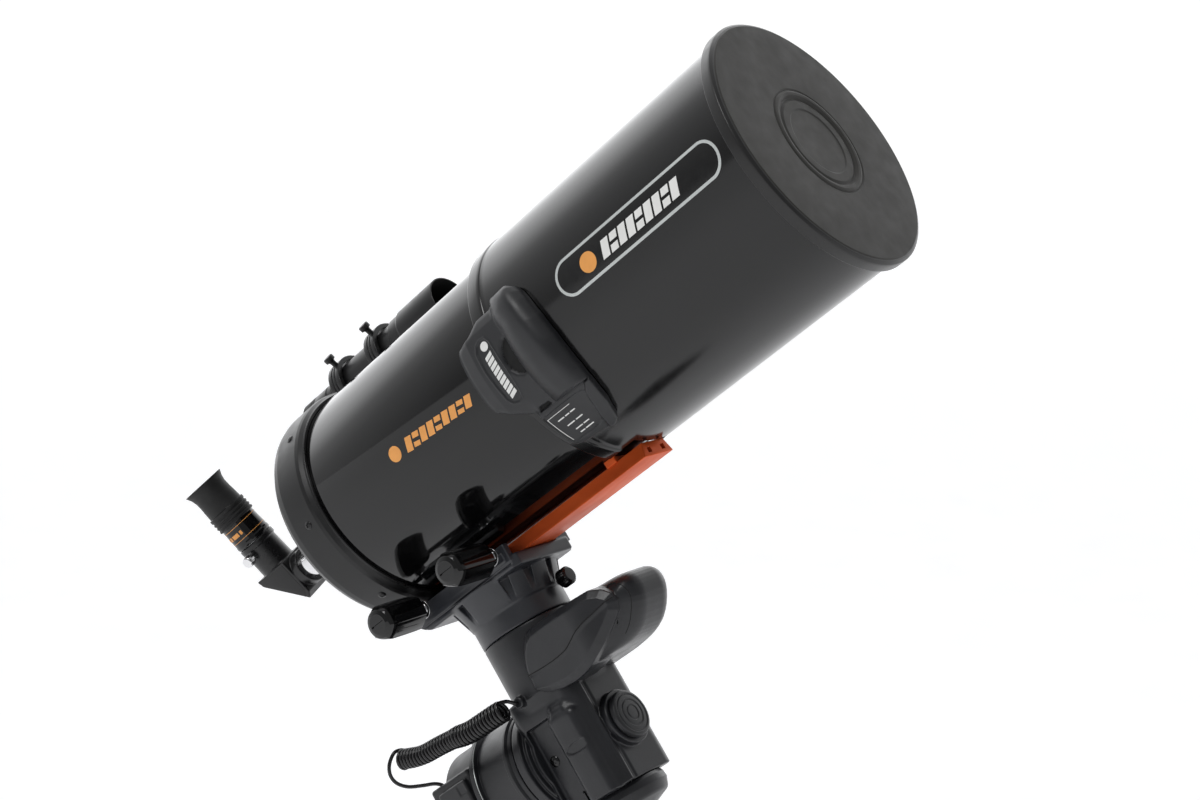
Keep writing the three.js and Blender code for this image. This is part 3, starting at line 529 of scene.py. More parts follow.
def cast(name, fr, f, lo, hi, h, mat, sharp=180):
    """Surface of the field f in a frame, as an even quad mesh pulled onto the true surface."""
    lo, hi = np.array(lo, float), np.array(hi, float)
    n = np.ceil((hi - lo) / h).astype(int) + 1
    g = [lo[i] + h * np.arange(n[i]) for i in range(3)]
    YY, ZZ = np.meshgrid(g[1], g[2], indexing="ij")
    D = np.empty(tuple(n), np.float64)
    for i in range(n[0]):
        D[i] = f(np.full_like(YY, g[0][i]), YY, ZZ)
    S = D < 0
    c = tuple(n - 1)
    acc = np.zeros(c + (3,))
    cnt = np.zeros(c)
    for ax in range(3):
        o = [0, 1, 2]
        o.remove(ax)
        for i in (0, 1):
            for j in (0, 1):
                sl0, sl1 = [None] * 3, [None] * 3
                for q in range(3):
                    if q == ax:
                        sl0[q], sl1[q] = slice(0, c[q]), slice(1, c[q] + 1)
                    else:
                        k = i if q == o[0] else j
                        sl0[q] = sl1[q] = slice(k, c[q] + k)
                d0, d1 = D[tuple(sl0)], D[tuple(sl1)]
                x = (S[tuple(sl0)] != S[tuple(sl1)])
                t = np.where(x, d0 / np.where(x, d0 - d1, 1), 0)
                cnt += x
                acc[..., ax] += np.where(x, t, 0)
                acc[..., o[0]] += np.where(x, i, 0)
                acc[..., o[1]] += np.where(x, j, 0)
    act = cnt > 0
    idx = -np.ones(c, np.int64)
    idx[act] = np.arange(int(act.sum()))
    cells = np.argwhere(act)
    co = lo + h * (cells + acc[act] / cnt[act][:, None])
    faces = []
    for ax in range(3):
        o = [0, 1, 2]
        o.remove(ax)
        a = [slice(1, c[q]) for q in range(3)]
        a[ax] = slice(0, c[ax])
        s0 = [slice(1, c[q]) for q in range(3)]
        s1 = list(s0)
        s0[ax], s1[ax] = slice(0, c[ax]), slice(1, c[ax] + 1)
        e = S[tuple(s0)] != S[tuple(s1)]
        inn = S[tuple(s0)][e]
        p = np.argwhere(e)
        p[:, o[0]] += 1
        p[:, o[1]] += 1
        q = []
        for (i, j) in ((0, 0), (1, 0), (1, 1), (0, 1)):
            w = p.copy()
            w[:, o[0]] -= i
            w[:, o[1]] -= j
            q.append(idx[w[:, 0], w[:, 1], w[:, 2]])
        q = np.stack(q, 1)
        if ax == 1:
            inn = ~inn
        q[~inn] = q[~inn][:, ::-1]
        faces.append(q)
    faces = np.concatenate(faces)
    faces = faces[(faces >= 0).all(1)]
    e = 0.05
    for _ in range(3):
        d = f(co[:, 0], co[:, 1], co[:, 2])
        gr = np.stack([(f(co[:, 0] + e * (i == 0), co[:, 1] + e * (i == 1), co[:, 2] + e * (i == 2)) - d) / e for i in range(3)], 1)
        gl = np.maximum((gr ** 2).sum(1), 0.2)
        co -= np.clip(d / gl, -0.4 * h, 0.4 * h)[:, None] * gr
    me = bpy.data.meshes.new(name)
    w = to_world(fr, co)
    me.vertices.add(len(w))
    me.vertices.foreach_set("co", w.astype(np.float32).ravel())
    me.loops.add(len(faces) * 4)
    me.loops.foreach_set("vertex_index", faces.astype(np.int32).ravel())
    me.polygons.add(len(faces))
    me.polygons.foreach_set("loop_start", np.arange(0, len(faces) * 4, 4, dtype=np.int32))
    me.update(calc_edges=True)
    me.materials.append(mat)
    ob = bpy.data.objects.new(name, me)
    bpy.context.scene.collection.objects.link(ob)
    finish_mesh(me, sharp)
    return ob


def put(ob, body, *nodes):
    if nodes:
        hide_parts(*nodes)
    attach(ob, body)
    return ob


# ------------------------------------------------------------------ pieces wrapped on the optical tube
def on_tube(s, a, r):
    """Tube coordinates from distance behind the cap, angle above the near side in degrees, and radius."""
    t = np.radians(a)
    return np.stack([-np.asarray(s, float) + 0 * t, -r * np.cos(t), r * np.sin(t)], -1)


def wrapped_shell(name, S, A, r_out, r_in, mat, mask=None, sharp=35, mats=None, pick=None):
    """A curved wall over grids S[i][j] and A[i][j], with outer and inner radii and optional gaps."""
    n, m = S.shape
    co = np.concatenate([on_tube(S, A, r_out).reshape(-1, 3), on_tube(S, A, r_in).reshape(-1, 3)])
    full = abs(abs(A[0, -1] - A[0, 0]) - 360) < 1e-6
    cm = m - 1
    keep = np.ones((n - 1, cm), bool) if mask is None else mask
    faces, index = [], []
    N = n * m

    def v(i, j, side):
        return side * N + i * m + (j % m)
    for i in range(n - 1):
        for j in range(cm):
            if not keep[i, j]:
                continue
            k = pick(0.5 * (S[i, j] + S[i + 1, j + 1]), 0.5 * (A[i, j] + A[i + 1, j + 1])) if pick else 0
            faces.append([v(i, j, 0), v(i + 1, j, 0), v(i + 1, j + 1, 0), v(i, j + 1, 0)])
            faces.append([v(i, j, 1), v(i, j + 1, 1), v(i + 1, j + 1, 1), v(i + 1, j, 1)])
            index += [k, 0]
            for di, dj, p, q in ((-1, 0, (i, j), (i, j + 1)), (1, 0, (i + 1, j), (i + 1, j + 1)), (0, -1, (i, j), (i + 1, j)), (0, 1, (i, j + 1), (i + 1, j + 1))):
                a, b = i + di, j + dj
                if full:
                    b %= cm
                if 0 <= a < n - 1 and 0 <= b < cm and keep[a, b]:
                    continue
                faces.append([v(*p, 0), v(*q, 0), v(*q, 1), v(*p, 1)])
                index.append(k)
    return new_object(name, to_world(OTA, co), faces, mat, sharp, mats=mats, index=index if pick else None)


def strip(name, pts, width, r, mat, thick=0.12, closed=False):
    """A thin printed line on the tube through (s, angle) points."""
    P = np.array([(s, math.radians(a) * r) for s, a in pts], float)
    n = len(P)
    if closed:
        T = np.roll(P, -1, 0) - np.roll(P, 1, 0)
    else:
        T = np.gradient(P, axis=0)
    T /= np.linalg.norm(T, axis=1)[:, None]
    N = np.stack([-T[:, 1], T[:, 0]], 1) * width / 2
    L, Rr = P + N, P - N
    co, faces = [], []
    for i in range(n):
        for q in (L[i], Rr[i]):
            for dr in (0, thick):
                co.append(on_tube(q[0], math.degrees(q[1] / r), r + dr))
    for i in range(n if closed else n - 1):
        a, b = 4 * i, 4 * ((i + 1) % n)
        faces += [[a + 1, b + 1, b + 3, a + 3], [a, a + 2, b + 2, b], [a, b, b + 1, a + 1], [a + 2, a + 3, b + 3, b + 2]]
    if not closed:
        faces += [[0, 1, 3, 2], [4 * n - 4, 4 * n - 2, 4 * n - 1, 4 * n - 3]]
    return new_object(name, to_world(OTA, co), faces, mat, 30)


def patch(name, outline, r, mat, thick=0.12, step=3.0):
    """A thin printed patch on the tube bounded by (s, angle) corners, cut into narrow bands along the tube."""
    A0, A1 = min(p[1] for p in outline), max(p[1] for p in outline)
    n = max(2, int(math.radians(A1 - A0) * r / step) + 1)
    rows = []
    for k in range(n):
        a = A0 + (A1 - A0) * (0.001 + 0.998 * k / (n - 1))
        xs = []
        for i in range(len(outline)):
            (s0, a0), (s1, a1) = outline[i], outline[(i + 1) % len(outline)]
            if (a0 - a) * (a1 - a) < 0:
                xs.append(s0 + (s1 - s0) * (a - a0) / (a1 - a0))
        rows.append((min(xs), max(xs), a))
    co, faces = [], []
    for s0, s1, a in rows:
        for s in (s0, s1):
            for dr in (0, thick):
                co.append(on_tube(s, a, r + dr))
    for k in range(n - 1):
        a, b = 4 * k, 4 * (k + 1)
        faces += [[a + 1, b + 1, b + 3, a + 3], [a, a + 2, b + 2, b], [a, b, b + 1, a + 1], [a + 2, a + 3, b + 3, b + 2]]
    faces += [[0, 1, 3, 2], [4 * n - 4, 4 * n - 2, 4 * n - 1, 4 * n - 3]]
    return new_object(name, to_world(OTA, co), faces, mat, 30)


def disc(name, s, a, r, rad_, mat, thick=0.12, n=60):
    return patch(name, [(s + rad_ * math.cos(2 * math.pi * (k + 0.5) / n), a + math.degrees(rad_ / r) * math.sin(2 * math.pi * (k + 0.5) / n)) for k in range(n)], r, mat, thick, 0.45)


def poly_sd(pts, x, y):
    V = np.array(pts, float)
    d = (x - V[0][0]) ** 2 + (y - V[0][1]) ** 2
    s = np.ones_like(x)
    j = len(V) - 1
    for i in range(len(V)):
        ex, ey = V[j][0] - V[i][0], V[j][1] - V[i][1]
        wx, wy = x - V[i][0], y - V[i][1]
        t = np.clip((wx * ex + wy * ey) / (ex * ex + ey * ey), 0, 1)
        d = np.minimum(d, (wx - ex * t) ** 2 + (wy - ey * t) ** 2)
        c1, c2, c3 = y >= V[i][1], y < V[j][1], ex * wy > ey * wx
        s = np.where((c1 & c2 & c3) | (~c1 & ~c2 & ~c3), -s, s)
        j = i
    return s * np.sqrt(d)


def cross_screw(name, fr, at, normal, r, mat, head=1.6, body=None):
    """A domed cross-recess screw at a point, its head standing along the normal."""
    n = Vector(normal).normalized()
    t = n.orthogonal().normalized()
    b = n.cross(t)
    prof = [(0, 0), (0.35 * head, 0.0), (0.35 * head, 0.0)]
    co, faces = [], []
    rings = [(-0.4, r), (0.25 * head, r), (0.62 * head, r * 0.86), (0.9 * head, r * 0.6), (head, r * 0.3), (head, 0.0)]
    seg = 32
    for a, rr in rings:
        for k in range(seg):
            q = 2 * math.pi * k / seg
            rec = 0.0
            c, s_ = math.cos(q), math.sin(q)
            p = Vector(at) + n * (a - rec) + t * rr * c + b * rr * s_
            co.append(p)
    for i in range(len(rings) - 1):
        for k in range(seg):
            k2 = (k + 1) % seg
            faces.append([i * seg + k, i * seg + k2, (i + 1) * seg + k2, (i + 1) * seg + k])
    co = [tuple(v) for v in co]
    head_ob = new_object(name, to_world(fr, co), faces, mat, 40)
    w = 0.16 * r
    for u, v in ((t, b), (b, t)):
        cc = []
        for du in (-0.55 * r, 0.55 * r):
            for dv in (-w, w):
                for dn in (0.45 * head, 1.3 * head):
                    cc.append(tuple(Vector(at) + u * du + v * dv + n * dn))
        tool = new_object("t", to_world(fr, cc), [[0, 1, 3, 2], [4, 6, 7, 5], [0, 4, 5, 1], [2, 3, 7, 6], [0, 2, 6, 4], [1, 5, 7, 3]], M["seam"], 180)
        boolean(head_ob, tool)
    finish_mesh(head_ob.data, 35)
    return head_ob


# ------------------------------------------------------------------ cap, dew shield, corrector end
cap = lathe("front_cap_visual", OTA, "x", [(-2.6, 0), (-2.6, 33, 1.5), (-1.9, 34.4, 1), (-1.9, 42.2, 1.5), (-3.2, 44.8, 1), (-3.0, 46.2, .8), (-0.7, 48, 1), (-0.4, 50.6, 1.4), (-0.9, 52.6, .8), (-2.3, 53.7, .5), (-1.2, 55.4, 1), (-1.2, 122.4, .9), (-2.0, 123.3, .4),
            (-2.3, 124.6, .5), (-4.4, 126.8, 1.2), (-6, 127, 1), (-14.5, 127, 0.6), (-14.5, 122.4, 0.4), (-5.4, 122.4, 1.5), (-5.4, 0)], M["cap"], seg=256, steps=5,
            mats=[M["cap"], M["cap_rim"]], pick=lambda a, r: 1 if r > 123.2 and a > -14.7 else 0)
put(cap, "front_cap", "front_cap")

s_list = np.array([4.6, 4.75, 5.1, 8] + list(np.linspace(20, 300, 15)) + [312, 316.6, 317.1, 317.6, 318, 322, 333.2, 333.7, 334])
a_list = np.concatenate([np.linspace(-90 - 16.2, -90 + 16.2, 25), np.linspace(-90 + 16.2, 270 - 16.2, 260)[1:]])
S, A = np.meshgrid(s_list, a_list, indexing="ij")
ro = np.interp(s_list, [4.6, 4.75, 5.1, 316.6, 317.1, 317.6, 318, 333.2, 333.7, 334], [121.5, 121.85, 122, 122, 122.15, 122.55, 122.8, 122.8, 122.7, 122.4])[:, None] + 0 * A
mask = np.ones((len(s_list) - 1, len(a_list) - 1), bool)
mask[np.ix_(s_list[:-1] >= 300, np.arange(len(a_list) - 1) < 24)] = False
shield = wrapped_shell("dew_shield_visual", S, A, ro, 119.6 + 0 * A, M["shield"], mask=mask, mats=[M["shield"]])
put(shield, "dew_shield", "dew_shield")

# rounded badge border with a plain pattern of dots and bars inside it
bad = []
for k in range(49):
    q = -math.pi / 2 + math.pi * k / 48
    bad.append((213 + 15.5 * math.cos(q), 6 + 7.9 * math.sin(q)))
for k in range(49):
    q = math.pi / 2 + math.pi * k / 48
    bad.append((43 + 15.5 * math.cos(q), 6 + 7.9 * math.sin(q)))
dense = []
for i in range(len(bad)):
    p, q = bad[i], bad[(i + 1) % len(bad)]
    k = max(1, int(abs(p[0] - q[0]) / 6))
    dense += [(p[0] + (q[0] - p[0]) * j / k, p[1] + (q[1] - p[1]) * j / k) for j in range(k)]
def blocks(name, ends, n, gap, r, mat, thick=0.1):
    """A row of plain slanted blocks between two lines: ends = (low start, low end, high start, high end) as (s, angle)."""
    out = []
    l0, l1, h0, h1 = [np.array(e, float) for e in ends]
    for k in range(n):
        w0 = k / n
        w1 = (k + 1 - gap) / n
        q = [l0 + (l1 - l0) * w0, l0 + (l1 - l0) * w1, h0 + (h1 - h0) * w1, h0 + (h1 - h0) * w0]
        if k % 3 == 1:
            m = 0.5
            lo_m, hi_m = q[0] + (q[3] - q[0]) * 0.40, q[1] + (q[2] - q[1]) * 0.40
            lo_n, hi_n = q[0] + (q[3] - q[0]) * 0.58, q[1] + (q[2] - q[1]) * 0.58
            out.append(patch(name, [tuple(q[0]), tuple(q[1]), tuple(hi_m), tuple(lo_m)], r, mat, thick, 1.2))
            out.append(patch(name, [tuple(lo_n), tuple(hi_n), tuple(q[2]), tuple(q[3])], r, mat, thick, 1.2))
        else:
            out.append(patch(name, [tuple(v_) for v_ in q], r, mat, thick, 1.2))
    return out


badge = [patch("badge_field", dense, 122.01, M["badge"], 0.06, 0.5), strip("badge_border", dense, 2.7, 122.03, M["silver"], closed=True),
         disc("badge_disc", 189.8, 5.6, 122.04, 9.4, M["amber"], n=48)]
badge += blocks("badge_block", ((174.5, 1.7), (76, 1.7), (169, 9.2), (70.5, 9.2)), 9, 0.2, 122.04, M["white"])
badge = merge("shield_badge", badge)
put(badge, "dew_shield")

put(lathe("front_cell_visual", OTA, "x", [(-258, 107.6, .6), (-258, 117.4, 1), (-262, 118.6, 1), (-298, 118.6, .6), (-300, 117.6, .6), (-300, 115.8), (-285.6, 115.8), (-285.6, 101.4, .5), (-276, 101.4), (-276, 107.6)],
          M["cell"], seg=192), "ota", "front_cell")
put(lathe("corrector_visual", OTA, "x", [(-275.6, 27), (-275.6, 104), (-271.4, 104), (-271.4, 27)], M["glass"], seg=160), "ota", "corrector_plate")
put(lathe("retainer_visual", OTA, "x", [(-271, 99.5, .4), (-271, 107.2, .4), (-267, 107.2, .4), (-267, 99.5, 1)], M["anod"], seg=160), "ota", "corrector_retainer")
put(lathe("secondary_cell_visual", OTA, "x", [(-258, 0), (-258, 30.5, 1), (-261, 34.5, 1), (-271, 34.5, .6), (-271, 26.6), (-276, 26.6), (-276, 32, .5), (-296, 32, .5), (-296, 28), (-280, 28), (-280, 0)],
          M["mould"], seg=96), "ota", "secondary_cell")
put(lathe("secondary_mirror_visual", OTA, "x", [(-281, 0), (-281, 27.6, .3), (-292, 27.6, .3), (-291.2, 18), (-290.7, 8), (-290.5, 0)], M["mirror"], seg=96), "ota", "secondary_mirror")

# ------------------------------------------------------------------ optical tube and rear cell
ot = lathe("optical_tube_visual", OTA, "x", [(-286, 114), (-286, 115.5, .3), (-452, 115.5), (-618, 115.5, .3), (-618, 114)], M["tube"], seg=256, mats=[M["tube"], M["inside"]], pick=lambda a, r: 1 if r < 114.5 else 0)
put(ot, "ota", "optical_tube")
marks = [disc("tube_disc", 487.8, -2.8, 115.52, 7.8, M["amber"], n=48)]
marks += blocks("tube_block", ((474, -6.8), (379, -9.0), (468.5, 0.3), (373.5, -3.3)), 9, 0.2, 115.52, M["amber"])
marks = merge("tube_marks", marks)
put(marks, "ota")

rc = lathe("rear_cell_visual", OTA, "x", [(-600, 115.8), (-600, 118.4, .5), (-602, 119.2, .8), (-606, 122, 1.5), (-610, 123, 1.5), (-640, 123, 4), (-647, 121.5, 5), (-654, 116.5, 6), (-661, 108, 6), (-665, 101, 2.5),
            (-665, 34, 1), (-667, 32, .8), (-667, 26, .3), (-672, 26, .4), (-672, 19), (-652, 19), (-652, 108), (-640, 115.5), (-620, 115.5), (-620, 115.8)], M["cell"], seg=256, steps=4,
            mats=[M["cell"], M["anod"]], pick=lambda a, r: 1 if a > -601.5 and r > 115 else 0)
hole = lathe("t", OTA, "x", [(-690, 0), (-690, 4.5), (-630, 4.5), (-630, 0)], M["cell"], seg=32, offset=(0, 52, -18))
boolean(rc, hole)
finish_mesh(rc.data, 35)
rim = lathe("rear_cell_rim", OTA, "x", [(-600.2, 115.9), (-599.9, 118.3, .3), (-601.6, 119.3, .4), (-602.2, 115.9)], M["anod"], seg=256)
parts = [rc, rim]
for a_ in (45, -3, -51, -99, -147, 165, 129, 93):
    at = on_tube(621, a_, 122.9)
    nn = on_tube(0, a_, 1.0)
    parts.append(cross_screw("rc_screw", OTA, at, (0, nn[1], nn[2]), 4.2, M["anod"], head=1.5))
rc = merge("rear_cell_visual", parts)
put(rc, "ota", "rear_cell")

put(lathe("baffle_visual", OTA, "x", [(-655, 15.4), (-655, 18.7), (-651.6, 18.7), (-480, 18.7), (-480, 15.4)], M["inside"], seg=64), "ota", "baffle_tube")
put(lathe("primary_visual", OTA, "x", [(-613, 102.6, .6), (-615.5, 70), (-617, 30), (-617, 26), (-606, 26), (-606, 19.2), (-644, 19.2), (-644, 26), (-634, 30), (-631, 100, 1), (-628, 102.6, .6)], M["mirror"], seg=160), "primary", "primary_mirror")


def knurl(n, depth, lo, hi):
    def w(a, r, t):
        if lo <= a <= hi:
            return r - depth * (0.5 - 0.5 * math.cos(n * t)) ** 2
        return r
    return w


fkn = lathe("focus_knob_visual", OTA, "x", [(-641, 0), (-641, 4), (-665.4, 4), (-665.4, 13, .8), (-668, 15.8, .8), (-670, 15.9), (-674, 15.8), (-680, 15.5), (-686, 15.1), (-690, 15, .6), (-693, 12, 1.5), (-693, 0)],
            M["rubber"], seg=216, offset=(0, 52, -18), wobble=lambda a, r, t: r - (0.9 * (0.5 - 0.5 * math.cos(36 * t)) if -688 < a < -669 and r > 14 else 0))
put(fkn, "focus_knob", "focus_knob")
vb = lathe("visual_back_visual", OTA, "x", [(-665.4, 26.4), (-665.4, 31, .8), (-684, 31, 1), (-686, 27, 1), (-722, 22, .6), (-724, 24, .6), (-736, 24, .8), (-738, 22, .8), (-738, 16.2, .4), (-673, 16.2), (-673, 26.4)],
           M["cell"], seg=180, wobble=lambda a, r, t: r - (0.7 * (0.5 - 0.5 * math.cos(60 * t)) if -683 < a < -667 and r > 30 else 0))
put(vb, "ota", "visual_back")

# ------------------------------------------------------------------ handle housing on the dew shield
def b_of(a):
    return math.radians(a) * 124


def bp(pts):
    return [(s_, b_of(a_)) for s_, a_ in pts]


cell_ = 0.72
sv = np.arange(251.5, 364.5, cell_)
bv = np.arange(b_of(-56), b_of(23), cell_)
S, B = np.meshgrid(sv, bv, indexing="ij")
OUTLINE = bp([(273, -52.3), (262.4, -42.6), (257.4, -33), (255, -25), (254, -18), (254, -9), (256.5, 1), (261, 10.4), (264, 14.5), (268, 17.8), (273, 19.6), (281, 21.2), (290, 21.5), (297, 20.8), (303.5, 19.4), (310, 19.1),
              (327.9, 19.0), (341.4, 14.8), (358, 12.9), (360.5, 12), (362, 9), (362.2, 0), (361.8, -7.6), (361.4, -14), (359.0, -18.4), (345.8, -23), (326.5, -29.6), (327.5, -40), (328.4, -49.5), (326.5, -51.5),
              (318, -53.2), (295, -54.2), (280, -54.0)])
sd = poly_sd(OUTLINE, S, B)
gs, gb = np.gradient(sd, cell_, cell_)
near = (sd > -0.3 * cell_) & (sd < 2.2 * cell_)
S = np.where(near, S - sd * gs, S)
B = np.where(near, B - sd * gb, B)
sd = poly_sd(OUTLINE, S, B)
cent = 0.25 * (sd[1:, 1:] + sd[:-1, 1:] + sd[1:, :-1] + sd[:-1, :-1])
worst = np.maximum.reduce([sd[1:, 1:], sd[:-1, 1:], sd[1:, :-1], sd[:-1, :-1]])
keep = (worst < 0.12 * cell_) & (cent < -0.02)
A = np.degrees(B / 124)
front_s = np.interp(A, [-52.3, -42.6, -33, -25, -18, -9, 1, 10.4, 14.5, 17.8, 19.6], [273, 262.4, 257.4, 255, 254, 254, 256.5, 261, 264, 268, 273])
base_r = 127.0 + 1.7 * smoothstep((300 - S) / 34)
# rear bevel of the plate
base_r = base_r - 3.2 * np.clip((S - (345.5 + 0.8 * smoothstep((A - 8) / 6))) / 16.0, 0, 1)
base_r = base_r - 2.2 * np.clip((A - 13.6) / 5.6, 0, 1) * smoothstep((S - 305) / 4)
base_r = base_r - 2.4 * np.clip((-22.0 - A) / 7.0, 0, 1) * smoothstep((S - 318) / 10) * (A > -30.2)
# the bar: a long pillow, quick at the front edge and easy towards the finger slot
tf = np.clip((S - front_s) / 15.0, 1e-3, None)
rear_s = np.interp(A, [-30, -20, 6, 12, 19.6], [301.4, 302.6, 302.4, 305.2, 303.4])
tr = np.clip((rear_s - S) / 25.0, 1e-3, None)
tt = np.clip((21.6 - A) * 2.164 / 19.0, 1e-3, None)
tb = np.clip((A + 30.4) * 2.164 / 6.0, 1e-3, None)
t_ = np.clip((tf ** -4.0 + tr ** -4.0 + tt ** -4.0 + tb ** -4.0) ** -0.25, 0, 1)
inside_bar = (S < rear_s) & (A > -30.4)
H = np.where(inside_bar, 12.6 * (1 - (1 - t_) ** 2.2), 0)
H = H * (1 - 0.12 * smoothstep((-14 - A) / 16))
# lower part with the label panel: a raised rib along the front edge
rib = smoothstep((-29.8 - A) / 1.4)
rib_s = np.interp(A, [-54, -46.2, -35.6, -31, -29], [286, 279.5, 270.6, 262, 259])
H = H + rib * 2.6 * smoothstep((rib_s + 3.0 - S) / 3.0)
Rr = base_r + H
edge = -sd
lipr = 1.5
lip = lipr * (1 - np.sqrt(np.clip(1 - (1 - np.clip(edge / lipr, 0, 1)) ** 2, 0, 1)))
Rr = Rr - lip - 0.6 * (1 - smoothstep(edge / 5.0)) * (S > 300)
# join between the bar part and the panel part
Rr = Rr - 0.7 * np.exp(-((A + 30.5) * 2.164 / 0.6) ** 2) * smoothstep((S - 256) / 3) * smoothstep((327 - S) / 3)
# finger slot with a soft lip
SLOT = bp([(302.6, 3.6), (307, 3.4), (311.5, 1.4), (315.2, -1.6), (316.4, -5), (315.4, -8.6), (311.5, -11.6), (306, -13.2), (302.8, -13.0)])
sl = poly_sd(SLOT, S, B)
Rr = Rr - 0.9 * smoothstep((3.2 - sl) / 3.2) * (S > rear_s - 1)
Rr = np.where(sl < 1.0, Rr - np.clip(Rr - 123.8, 0, None) * smoothstep((0.8 - sl) / 1.5), Rr)
# name plate recess with a fine raised border
PLATE = bp([(324.0, 9.2), (330, 9.6), (335.4, 8.4), (338.8, 5.6), (339.4, -2.7), (338.2, -10.9), (337.6, -17.0), (334.8, -19.6), (329, -20.6), (323.8, -20.3), (320.9, -16.3), (319.0, -7.4), (319.8, 1.8), (320.9, 6.6)])
pl = poly_sd(PLATE, S, B)
Rr = Rr - 0.8 * smoothstep((-pl + 0.1) / 0.7) + 0.45 * np.exp(-((pl - 0.9) / 0.7) ** 2)
# recessed label panel
PANEL = bp([(325.4, -32.4), (300, -32.2), (276, -32.4), (270.2, -33.6), (271.6, -37), (280.3, -46.3), (286, -49.2), (293, -50.4), (325.0, -49.8)])
lp = poly_sd(PANEL, S, B)
Rr = Rr - 1.5 * smoothstep((-lp + 0.2) / 1.0)
# latch slot
LATCH = bp([(322.1, -30.0), (305.4, -29.5), (306.4, -28.0), (319.0, -27.8)])
la = poly_sd(LATCH, S, B)
Rr = np.where(la < 1.0, Rr - np.clip(Rr - 124.0, 0, None) * smoothstep((0.7 - la) / 1.2), Rr)
Rr = np.maximum(Rr, 123.7)


# faces inside the finger slot and the latch slot get the near-black seam material: painted shade in these recesses
def slot_shade_pick(s_, a_):
    x, y = np.array([s_]), np.array([math.radians(a_) * 124])
    return 1 if poly_sd(SLOT, x, y)[0] < -0.2 or poly_sd(LATCH, x, y)[0] < -0.1 else 0


HOUSING_R = (S.copy(), A.copy(), Rr.copy())
hh = wrapped_shell("handle_housing_visual", S, A, Rr, 123.1 + 0 * Rr, M["mould"], mask=keep, mats=[M["mould"], M["seam"]], pick=slot_shade_pick, sharp=48)
put(hh, "dew_shield", "handle_housing")

# generic raised bars on the name plate, and printed bars on the label panel
def housing_r(s_, a_):
    S0, A0, R0 = HOUSING_R
    k = np.argmin((S0 - s_) ** 2 + (np.radians(A0 - a_) * 124) ** 2)
    return float(R0.flat[k])


extras = [disc("plate_disc", 328.0, 6.4, housing_r(329, 0) + 0.03, 4.6, M["white"], n=40)]
for k in range(9):
    a0_, a1_ = 2.9 - 2.28 * k, 2.9 - 2.28 * (k + 0.78)
    extras.append(patch("plate_block", [(333.2, a0_ - 0.9), (333.2, a1_ - 0.9), (324.0, a1_ + 0.5), (324.0, a0_ + 0.5)], housing_r(329, -8) + 0.03, M["white"], 0.12, 0.9))
put(merge("name_plate_bars", extras), "dew_shield")
extras = []
pr = housing_r(305, -42) + 0.03
for s0, s1, a0_, a1_, w in ((277, 323.6, -34.6, -34.4, 0.55), (323.6, 323.9, -34.2, -48.8, 0.7)):
    extras.append(strip("panel_line", [(s0 + (s1 - s0) * j / 12, a0_ + (a1_ - a0_) * j / 12) for j in range(13)], w, pr, M["white"], thick=0.1))
for a_, runs in ((-37.6, ((317, 309), (307.4, 302), (300.6, 290))), (-41.8, ((314.5, 305), (303, 290.5))), (-45.4, ((312, 303), (301.6, 294))), (-47.9, ((312, 306), (304.6, 291)))):
    for s0, s1 in runs:
        extras.append(strip("panel_label", [(s0 + (s1 - s0) * j / 5, a_) for j in range(6)], 1.25, pr, M["white"], thick=0.1))
put(merge("panel_labels", extras), "dew_shield")

# ------------------------------------------------------------------ dovetail bar
sec = [(-24, -134), (24, -134), (22.8, -131), (18.6, -121), (18.6, -119.6), (-18.6, -119.6), (-18.6, -121), (-22.8, -131)]
dv = prism("dovetail_visual", OTA, "x", sec, -632, -306, M["orange"], bevel=0.9, segs=3)
for y0, y1 in ((8, 14), (-14, -8)):
    boolean(dv, block("t", OTA, -324, -305, y0, y1, -130.5, -125, M["orange"], bevel=0))
boolean(dv, block("t", OTA, -560, -360, -12, 12, -125, -119, M["orange"], bevel=0))
for y0, y1 in ((-30, -21.4), (21.4, 30)):
    boolean(dv, block("t", OTA, -640, -300, y0, y1, -127.6, -126.4, M["orange"], bevel=0))
boolean(dv, lathe("t", OTA, "x", [(-660, 0), (-660, 123.6), (-596, 123.6), (-596, 0)], M["orange"], seg=256))
finish_mesh(dv.data, 30)
feet = []
for s0, s1 in ((338, 352), (574, 592)):
    ft = block("dovetail_foot", OTA, -s1, -s0, -21, 21, -121, -100, M["orange"], bevel=1.2, segs=4)
    boolean(ft, lathe("t", OTA, "x", [(-s1 - 5, 0), (-s1 - 5, 116), (-s0 + 5, 116), (-s0 + 5, 0)], M["orange"], seg=256))
    finish_mesh(ft.data, 35)
    feet.append(ft)
    for y_ in (-15, 15):
        pass
dv = merge("dovetail_visual", [dv] + feet)
put(dv, "ota", "dovetail_bar")

# ------------------------------------------------------------------ finder
ft = lathe("finder_tube_visual", FIND, "x", [(-487, 27.4, .4), (-487, 29, .5), (-546, 29, .8), (-549.5, 27.4, .6), (-562, 27.4, .5), (-564, 25.6, .5), (-664, 25.6, 1), (-676, 20.4, 1.5), (-682, 20.4), (-682.6, 19.6), (-684.4, 19.6), (-685, 20.4),
                                          (-706, 20.4, .6), (-706, 17.4), (-676, 17.4), (-664, 24), (-548, 24), (-548, 27.4)], M["cell"], seg=160,
           mats=[M["cell"], M["inside"]], pick=lambda a, r: 1 if (r < 27.5 and a > -548.5) or r < 17.6 or (r < 24.2 and a > -675) else 0)
put(ft, "ota", "finder_tube")
put(lathe("finder_objective_visual", FIND, "x", [(-545, 0), (-545.1, 6), (-545.6, 12), (-547.4, 26.8), (-541, 26.8), (-539.6, 12), (-539.1, 6), (-539, 0)], M["glass"], seg=96), "ota", "finder_objective")
